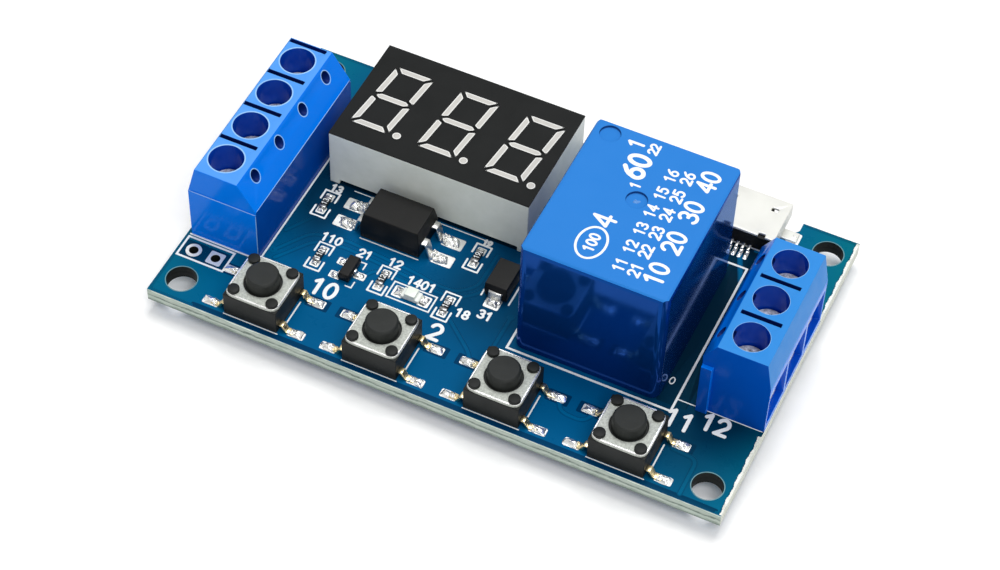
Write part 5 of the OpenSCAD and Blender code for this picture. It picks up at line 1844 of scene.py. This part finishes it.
@dataclass
class SmallParts(Assembly):
    """The chips, the indicator and what is hidden under the display."""

    opto: Point = (-11.95, -0.95)
    transistor: Point = (-14.1, -7.95)
    diode: Point = (0.75, -2.6)
    light: Point = (-7.0, -8.0)
    resistors: tuple[Point, ...] = (
        (-20.6, -0.85), (-3.25, -0.4), (-17.85, -7.45), (-10.65, -7.4), (-3.3, -7.6)
    )
    labels: tuple[str, ...] = ("13", "19", "110", "12", "18")
    label_places: tuple[tuple[Point, float], ...] = (
        ((-0.45, 1.98), 0.85), ((-0.3, 1.95), 0.62), ((-1.0, 2.15), 1.0), ((-0.45, 2.1), 1.0),
        ((1.2, -0.6), 1.0),
    )
    chip_body: float = 0.48
    opto_body: float = 3.42
    transistor_body: float = 0.67
    diode_body: float = 1.97
    lens_height: float = 0.45
    mark_h: float = 0.54
    mark_w: float = 0.09

    def dress(self) -> None:
        """Black bodies with bright leads, chips with metal ends, a pale indicator."""
        leads = {
            "optocoupler": (beyond(0, self.opto[0], self.opto_body), 0.09, 3),
            "transistor": (beyond(0, self.transistor[0], self.transistor_body), 0.05, 2),
            "diode": (beyond(1, self.diode[1], self.diode_body), 0.07, 2),
        }
        for name, (pick, width, segments) in leads.items():
            self.frame.node(name).paint(MOULDED_BLACK, LEAD_TIN, pick=pick).soften(width, segments)
        self.frame.node("chip_resistors").paint(CHIP_BODY, CHIP_END, pick=self.chip_ends).soften(0.04)
        self.frame.node("chip_capacitors").paint(CERAMIC_TAN).soften(0.05)
        self.frame.node("indicator").paint(LED_BODY, LED_LENS, pick=self.lens).soften(0.08, segments=3)
        self.frame.node("controller").paint(MOULDED_BLACK).soften(0.03)
        self.frame.node("regulator").paint(MOULDED_BLACK).soften(0.04)

    def lens(self, centres: np.ndarray, normals: np.ndarray) -> np.ndarray:
        """1 for faces in the lens of the indicator."""
        return (centres[:, 2] > BOARD_TOP + self.lens_height).astype(np.int32)

    def chip_ends(self, centres: np.ndarray, normals: np.ndarray) -> np.ndarray:
        """1 for faces in the metal ends of the chip resistors.

        Args:
            centres: Middles of the faces.
            normals: Not used.

        Returns:
            Material index of each face.
        """
        gap = np.abs(centres[:, None, :2] - np.asarray(self.resistors)[None])
        nearest = np.argmin(gap.sum(-1), axis=1)
        return (gap[np.arange(len(gap)), nearest, 1] > self.chip_body).astype(np.int32)

    def draw(self) -> None:
        """Pads, solder, outlines and numbers of the small parts."""
        rows = zip(self.resistors, self.labels, self.label_places, strict=True)
        for place, label, (offset, height) in rows:
            self.draw_resistor(place)
            self.art.number(label, *moved([offset], place), height)
        self.draw_opto()
        self.draw_transistor()
        self.draw_diode()
        self.draw_light()

    def draw_resistor(self, place: Point) -> None:
        """Two pads of a chip resistor, each in a printed bracket.

        Args:
            place: Middle of the chip.
        """
        x, y = place
        for row in SIGNS:
            end = y + row * 1.8
            self.art.pad((x, y + row * 0.95), (0.5, 0.48))
            self.art.blob((x, y + row * 1.0), (0.4, 0.3), 0.26, 3.4, 0.14)
            for side in SIGNS:
                self.art.rule([(x + side * 0.83, y + row * 0.55), (x + side * 0.83, end)], 0.22)
            self.art.rule([(x - 0.83, end), (x + 0.83, end)], 0.22)

    def draw_opto(self) -> None:
        """Four long pads of the optocoupler with solder up to the leads, and a line along its front."""
        x, y = self.opto
        for side in SIGNS:
            for foot in (y - 1.27, y + 1.27):
                self.art.pad((x + side * 5.65, foot), (1.15, 0.78), 12.0)
                self.art.blob((x + side * 5.45, foot), (1.0, 0.74), 0.55, 4.6, 0.42)
                self.art.blob((x + side * 4.6, foot), (0.5, 0.62), 0.7, 3.4, 0.4)
        self.art.rule(moved([(-3.3, -2.4), (3.35, -2.4)], self.opto), 0.15)

    def draw_transistor(self) -> None:
        """Three pads of the transistor, two printed corners and a number."""
        for foot in moved([(-1.2, -0.95), (-1.2, 0.95), (1.2, 0.0)], self.transistor):
            self.art.pad(foot, (0.62, 0.46))
            self.art.blob(foot, (0.5, 0.4), 0.26, 3.2, 0.24)
        for row in SIGNS:
            corner = [(0.4, row * 1.75), (1.05, row * 1.75), (1.05, row * 0.95)]
            self.art.rule(moved(corner, self.transistor), 0.17)
        self.art.number("21", *moved([(-0.35, 2.35)], self.transistor))

    def draw_diode(self) -> None:
        """Two pads of the diode, a line on each side and a number."""
        x, y = self.diode
        for row in SIGNS:
            self.art.pad((x, y + row * 2.55), (0.85, 0.72))
            self.art.blob((x, y + row * 2.6), (0.74, 0.56), 0.46, 3.4, 0.36)
        for side in SIGNS:
            self.art.rule(moved([(side * 1.55, -2.0), (side * 1.55, 2.0)], self.diode), 0.2)
        self.art.number("31", *moved([(-0.7, -4.75)], self.diode))

    def draw_light(self) -> None:
        """Two pads of the indicator in a printed box, and a number."""
        x, y = self.light
        self.art.rule(moved(box_path((-2.4, -1.06), (2.38, 1.07)), self.light), 0.18, closed=True)
        for side in SIGNS:
            self.art.pad((x + side * 1.45, y), (0.62, 0.72))
            self.art.blob((x + side * 1.38, y), (0.62, 0.66), 0.4, 3.6, 0.3)
        self.art.number("1401", *moved([(-1.3, 1.4)], self.light))

    def build_marks(self) -> None:
        """Small numbers on the chip resistors."""
        marks, numerals = Patchwork(), Numerals()
        high = self.frame.box("chip_resistors")[1][2]
        for (x, y), label in zip(self.resistors, self.labels, strict=True):
            foot = (x + 0.27, y - 0.16 - 0.22 * (len(label) - 1))
            for count, (stroke, closed) in enumerate(numerals.lines(label, foot, self.mark_h, (0.0, 1.0))):
                marks.ribbon(stroke, self.mark_w, high, 0.008 + 0.0008 * count, closed=closed)
        marks.piece("part_marks", PRINT_INK, "black_plastic")


@dataclass
class PowerSocket(Assembly):
    """The power socket at the back edge: plated shell, black insert, contact tails."""

    middle: float = 20.15
    pitch: float = 0.65
    back: float = 13.3
    tab_y: float = 16.65

    def dress(self) -> None:
        """Plating on the shell, black insert with bright tails."""
        self.frame.node("socket_shell").paint(SOCKET_METAL).soften(0.1, segments=3)
        self.frame.node("socket_insert").paint(MOULDED_BLACK, LEAD_TIN, pick=self.tails).soften(0.03)

    def tails(self, centres: np.ndarray, normals: np.ndarray) -> np.ndarray:
        """1 for faces of the contact tails, which stand out behind the insert."""
        return (centres[:, 1] < self.back - HAIR).astype(np.int32)

    def draw(self) -> None:
        """Pads and solder of the tails and of the shell's tabs."""
        for count in range(-2, 3):
            x, y = self.middle + count * self.pitch, self.back - 0.95
            self.art.pad((x, y), (0.2, 0.66))
            self.art.blob((x, y - 0.2), (0.17, 0.4), 0.14, 3.0, 0.1)
        for side in SIGNS:
            self.art.pad((self.middle + side * 4.9, self.tab_y), (0.72, 0.78))
            self.art.blob((self.middle + side * 4.95, self.tab_y - 0.1), (0.5, 0.56), 0.3, 3.4, 0.2)


# Stage


@dataclass
class Stage:
    """Floor, light and camera."""

    floor: float = -1.61
    reach: float = 900.0
    paper_fibres: float = 900.0
    paper_tone: Point = (0.96, 1.0)
    paper_bounce: float = 0.9
    paper_glow: float = 0.05
    eye: Place = (69.562, -162.218, 214.859)
    right: Place = (0.90438, 0.42591, 0.02664)
    down: Place = (0.34542, -0.69395, -0.63176)
    focal: float = 2697.65  # in pixels, as are the next two
    middle: Point = (502.56, 284.36)
    image: Point = (1000.0, 570.0)
    sensor: float = 36.0
    ambient: float = 0.46
    overhead: float = 0.5
    lamps: tuple[tuple[Place, float, float], ...] = (  # place, size and watts
        ((-20.0, 200.0, 690.0), 330.0, 2.5),
        ((300.0, -260.0, 620.0), 330.0, 1.65),
    )

    def build_floor(self) -> None:
        """A level floor of one quad, white to the camera and in reflections, and greyer to bounced light."""
        span = np.array([-self.reach, self.reach])
        x, y = np.meshgrid(span, span)
        points = np.stack([x, y, np.full_like(x, self.floor)], -1)
        mesh = bpy.data.meshes.new("floor")
        mesh.from_pydata((points.reshape(-1, 3) * MM).tolist(), [], [(0, 1, 3, 2)])
        paper = bpy.data.materials.new("floor_paper")
        paper.use_nodes = True
        graph = Graph(paper.node_tree)
        paper.node_tree.nodes.clear()
        out = graph.add("ShaderNodeOutputMaterial")
        seen, bounced = graph.add("ShaderNodeBsdfDiffuse"), graph.add("ShaderNodeBsdfDiffuse")
        glow = graph.add("ShaderNodeEmission")
        fibre = graph.spread(graph.noise(graph.place(), self.paper_fibres), 0.3, 0.7, *self.paper_tone)
        graph.feed(seen.inputs["Color"], graph.mix(fibre, (0.0, 0.0, 0.0, 1.0), (1.0, 1.0, 1.0, 1.0)))
        bounced.inputs["Color"].default_value = (*(self.paper_bounce,) * 3, 1.0)
        glow.inputs["Strength"].default_value = self.paper_glow
        both, pick = graph.add("ShaderNodeAddShader"), graph.add("ShaderNodeMixShader")
        graph.feed(both.inputs[0], seen.outputs[0])
        graph.feed(both.inputs[1], glow.outputs[0])
        graph.feed(pick.inputs[0], self.seen_ray(graph))
        graph.feed(pick.inputs[1], bounced.outputs[0])
        graph.feed(pick.inputs[2], both.outputs[0])
        graph.feed(out.inputs["Surface"], pick.outputs[0])
        mesh.materials.append(paper)
        made = bpy.data.objects.new("floor", mesh)
        bpy.context.scene.collection.objects.link(made)

    @staticmethod
    def seen_ray(graph: Graph) -> bpy.types.NodeSocket:
        """1 for camera, glossy and transmission rays, 0 for the rest."""
        path = graph.add("ShaderNodeLightPath").outputs
        shine = graph.sum("MAXIMUM", path["Is Glossy Ray"], path["Is Transmission Ray"])
        return graph.sum("MAXIMUM", path["Is Camera Ray"], shine)

    def build_light(self) -> None:
        """Two soft lamps, and a world that is white behind the floor and dimmer overhead and as light."""
        world = bpy.data.worlds.new("studio")
        world.use_nodes = True
        graph = Graph(world.node_tree)
        ground = world.node_tree.nodes["Background"]
        axes = graph.add("ShaderNodeSeparateXYZ")
        graph.feed(axes.inputs[0], graph.add("ShaderNodeTexCoord").outputs["Generated"])
        shown = graph.spread(axes.outputs["Z"], 0.3, 0.9, 1.0, self.overhead)
        strength = graph.spread(self.seen_ray(graph), 0.0, 1.0, self.ambient, shown)
        graph.feed(ground.inputs["Strength"], strength)
        ground.inputs["Color"].default_value = (1.0, 1.0, 1.0, 1.0)
        bpy.context.scene.world = world
        for count, (place, size, power) in enumerate(self.lamps, start=1):
            lamp = bpy.data.lights.new(f"softbox_{count}", "AREA")
            lamp.size, lamp.energy = size * MM, power
            made = bpy.data.objects.new(f"softbox_{count}", lamp)
            made.location = Vector(place) * MM
            made.rotation_euler = (-Vector(place)).to_track_quat("-Z", "Y").to_euler()
            bpy.context.scene.collection.objects.link(made)

    def build_camera(self) -> None:
        """The camera that was solved from the photograph."""
        lens = bpy.data.cameras.new("camera")
        lens.sensor_fit, lens.sensor_width = "HORIZONTAL", self.sensor
        lens.lens = self.focal * self.sensor / self.image[0]
        lens.shift_x = (self.image[0] / 2 - self.middle[0]) / self.image[0]
        lens.shift_y = (self.middle[1] - self.image[1] / 2) / self.image[0]
        lens.clip_start, lens.clip_end = 0.01, 10.0
        x, y = Vector(self.right), -Vector(self.down)
        turn = Matrix((x, y, x.cross(y))).transposed().to_4x4()
        made = bpy.data.objects.new("camera", lens)
        made.matrix_world = Matrix.Translation(Vector(self.eye) * MM) @ turn
        bpy.context.scene.collection.objects.link(made)
        bpy.context.scene.camera = made
        bpy.context.scene.view_settings.view_transform = "Standard"


def pin_places(frame: Frame) -> tuple[Place, ...]:
    """Middle and tip radius of each solder joint: the node's lowest points, joined where short steps link.

    Squaring the table of links doubles the number of steps that it covers.

    Args:
        frame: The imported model.

    Returns:
        Place and radius of each joint.
    """
    co = frame.node("solder_joints").points()
    low = np.unique(np.round(co[co[:, 2] < co[:, 2].min() + HAIR, :2], 3), axis=0)
    linked = np.linalg.norm(low[:, None] - low[None], axis=-1) < LINK_GAP
    for _ in range(LINK_ROUNDS):
        linked = (linked.astype(np.float32) @ linked.astype(np.float32)) > 0
    first = np.argmax(linked, axis=1)
    ends = [low[first == k] for k in np.unique(first)]
    middles = np.array([(e.min(0) + e.max(0)) / 2 for e in ends])
    tips = np.array([np.ptp(e, axis=0).max() / 2 for e in ends])
    pins = np.round(np.column_stack([middles, tips]), 3)
    return tuple(map(tuple, pins[np.lexsort((pins[:, 1], pins[:, 0]))].tolist()))


def main() -> None:
    """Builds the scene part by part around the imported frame."""
    logging.basicConfig(level=logging.INFO, format="%(name)s: %(message)s")
    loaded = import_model()
    frame = Frame(loaded["nodes"])
    stage = Stage()
    stage.build_camera()
    stage.build_floor()
    stage.build_light()
    art = BoardArt()
    board = CircuitBoard(frame, art, pin_places(frame))
    relay, display, switches = Relay(frame, art), Display(frame, art), PushSwitches(frame, art)
    blocks = (
        TerminalBlock(frame, art, Side.INPUT, 4, creases=INPUT_CREASE_HIGHLIGHTS, slope=INPUT_SLOPE),
        TerminalBlock(
            frame, art, Side.OUTPUT, 3, top=OUTPUT_TOP_SHADED, shaded_end=True, hoop_highlight=0.05, numbers=OUTPUT_NUMBERS
        ),
    )
    small, socket = SmallParts(frame, art), PowerSocket(frame, art)
    parts = (board, relay, display, *blocks, switches, small, socket)
    for part in parts:
        part.dress()
        LOG.info("dressed %s", type(part).__name__)
    for part in parts:
        part.draw()
    art.build()
    board.build_lips()
    board.build_joints()
    board.build_underside()
    relay.build_print()
    display.build_rims()
    switches.build_plates()
    for block in blocks:
        block.build_creases()
    small.build_marks()


if __name__ == "__main__":
    main()
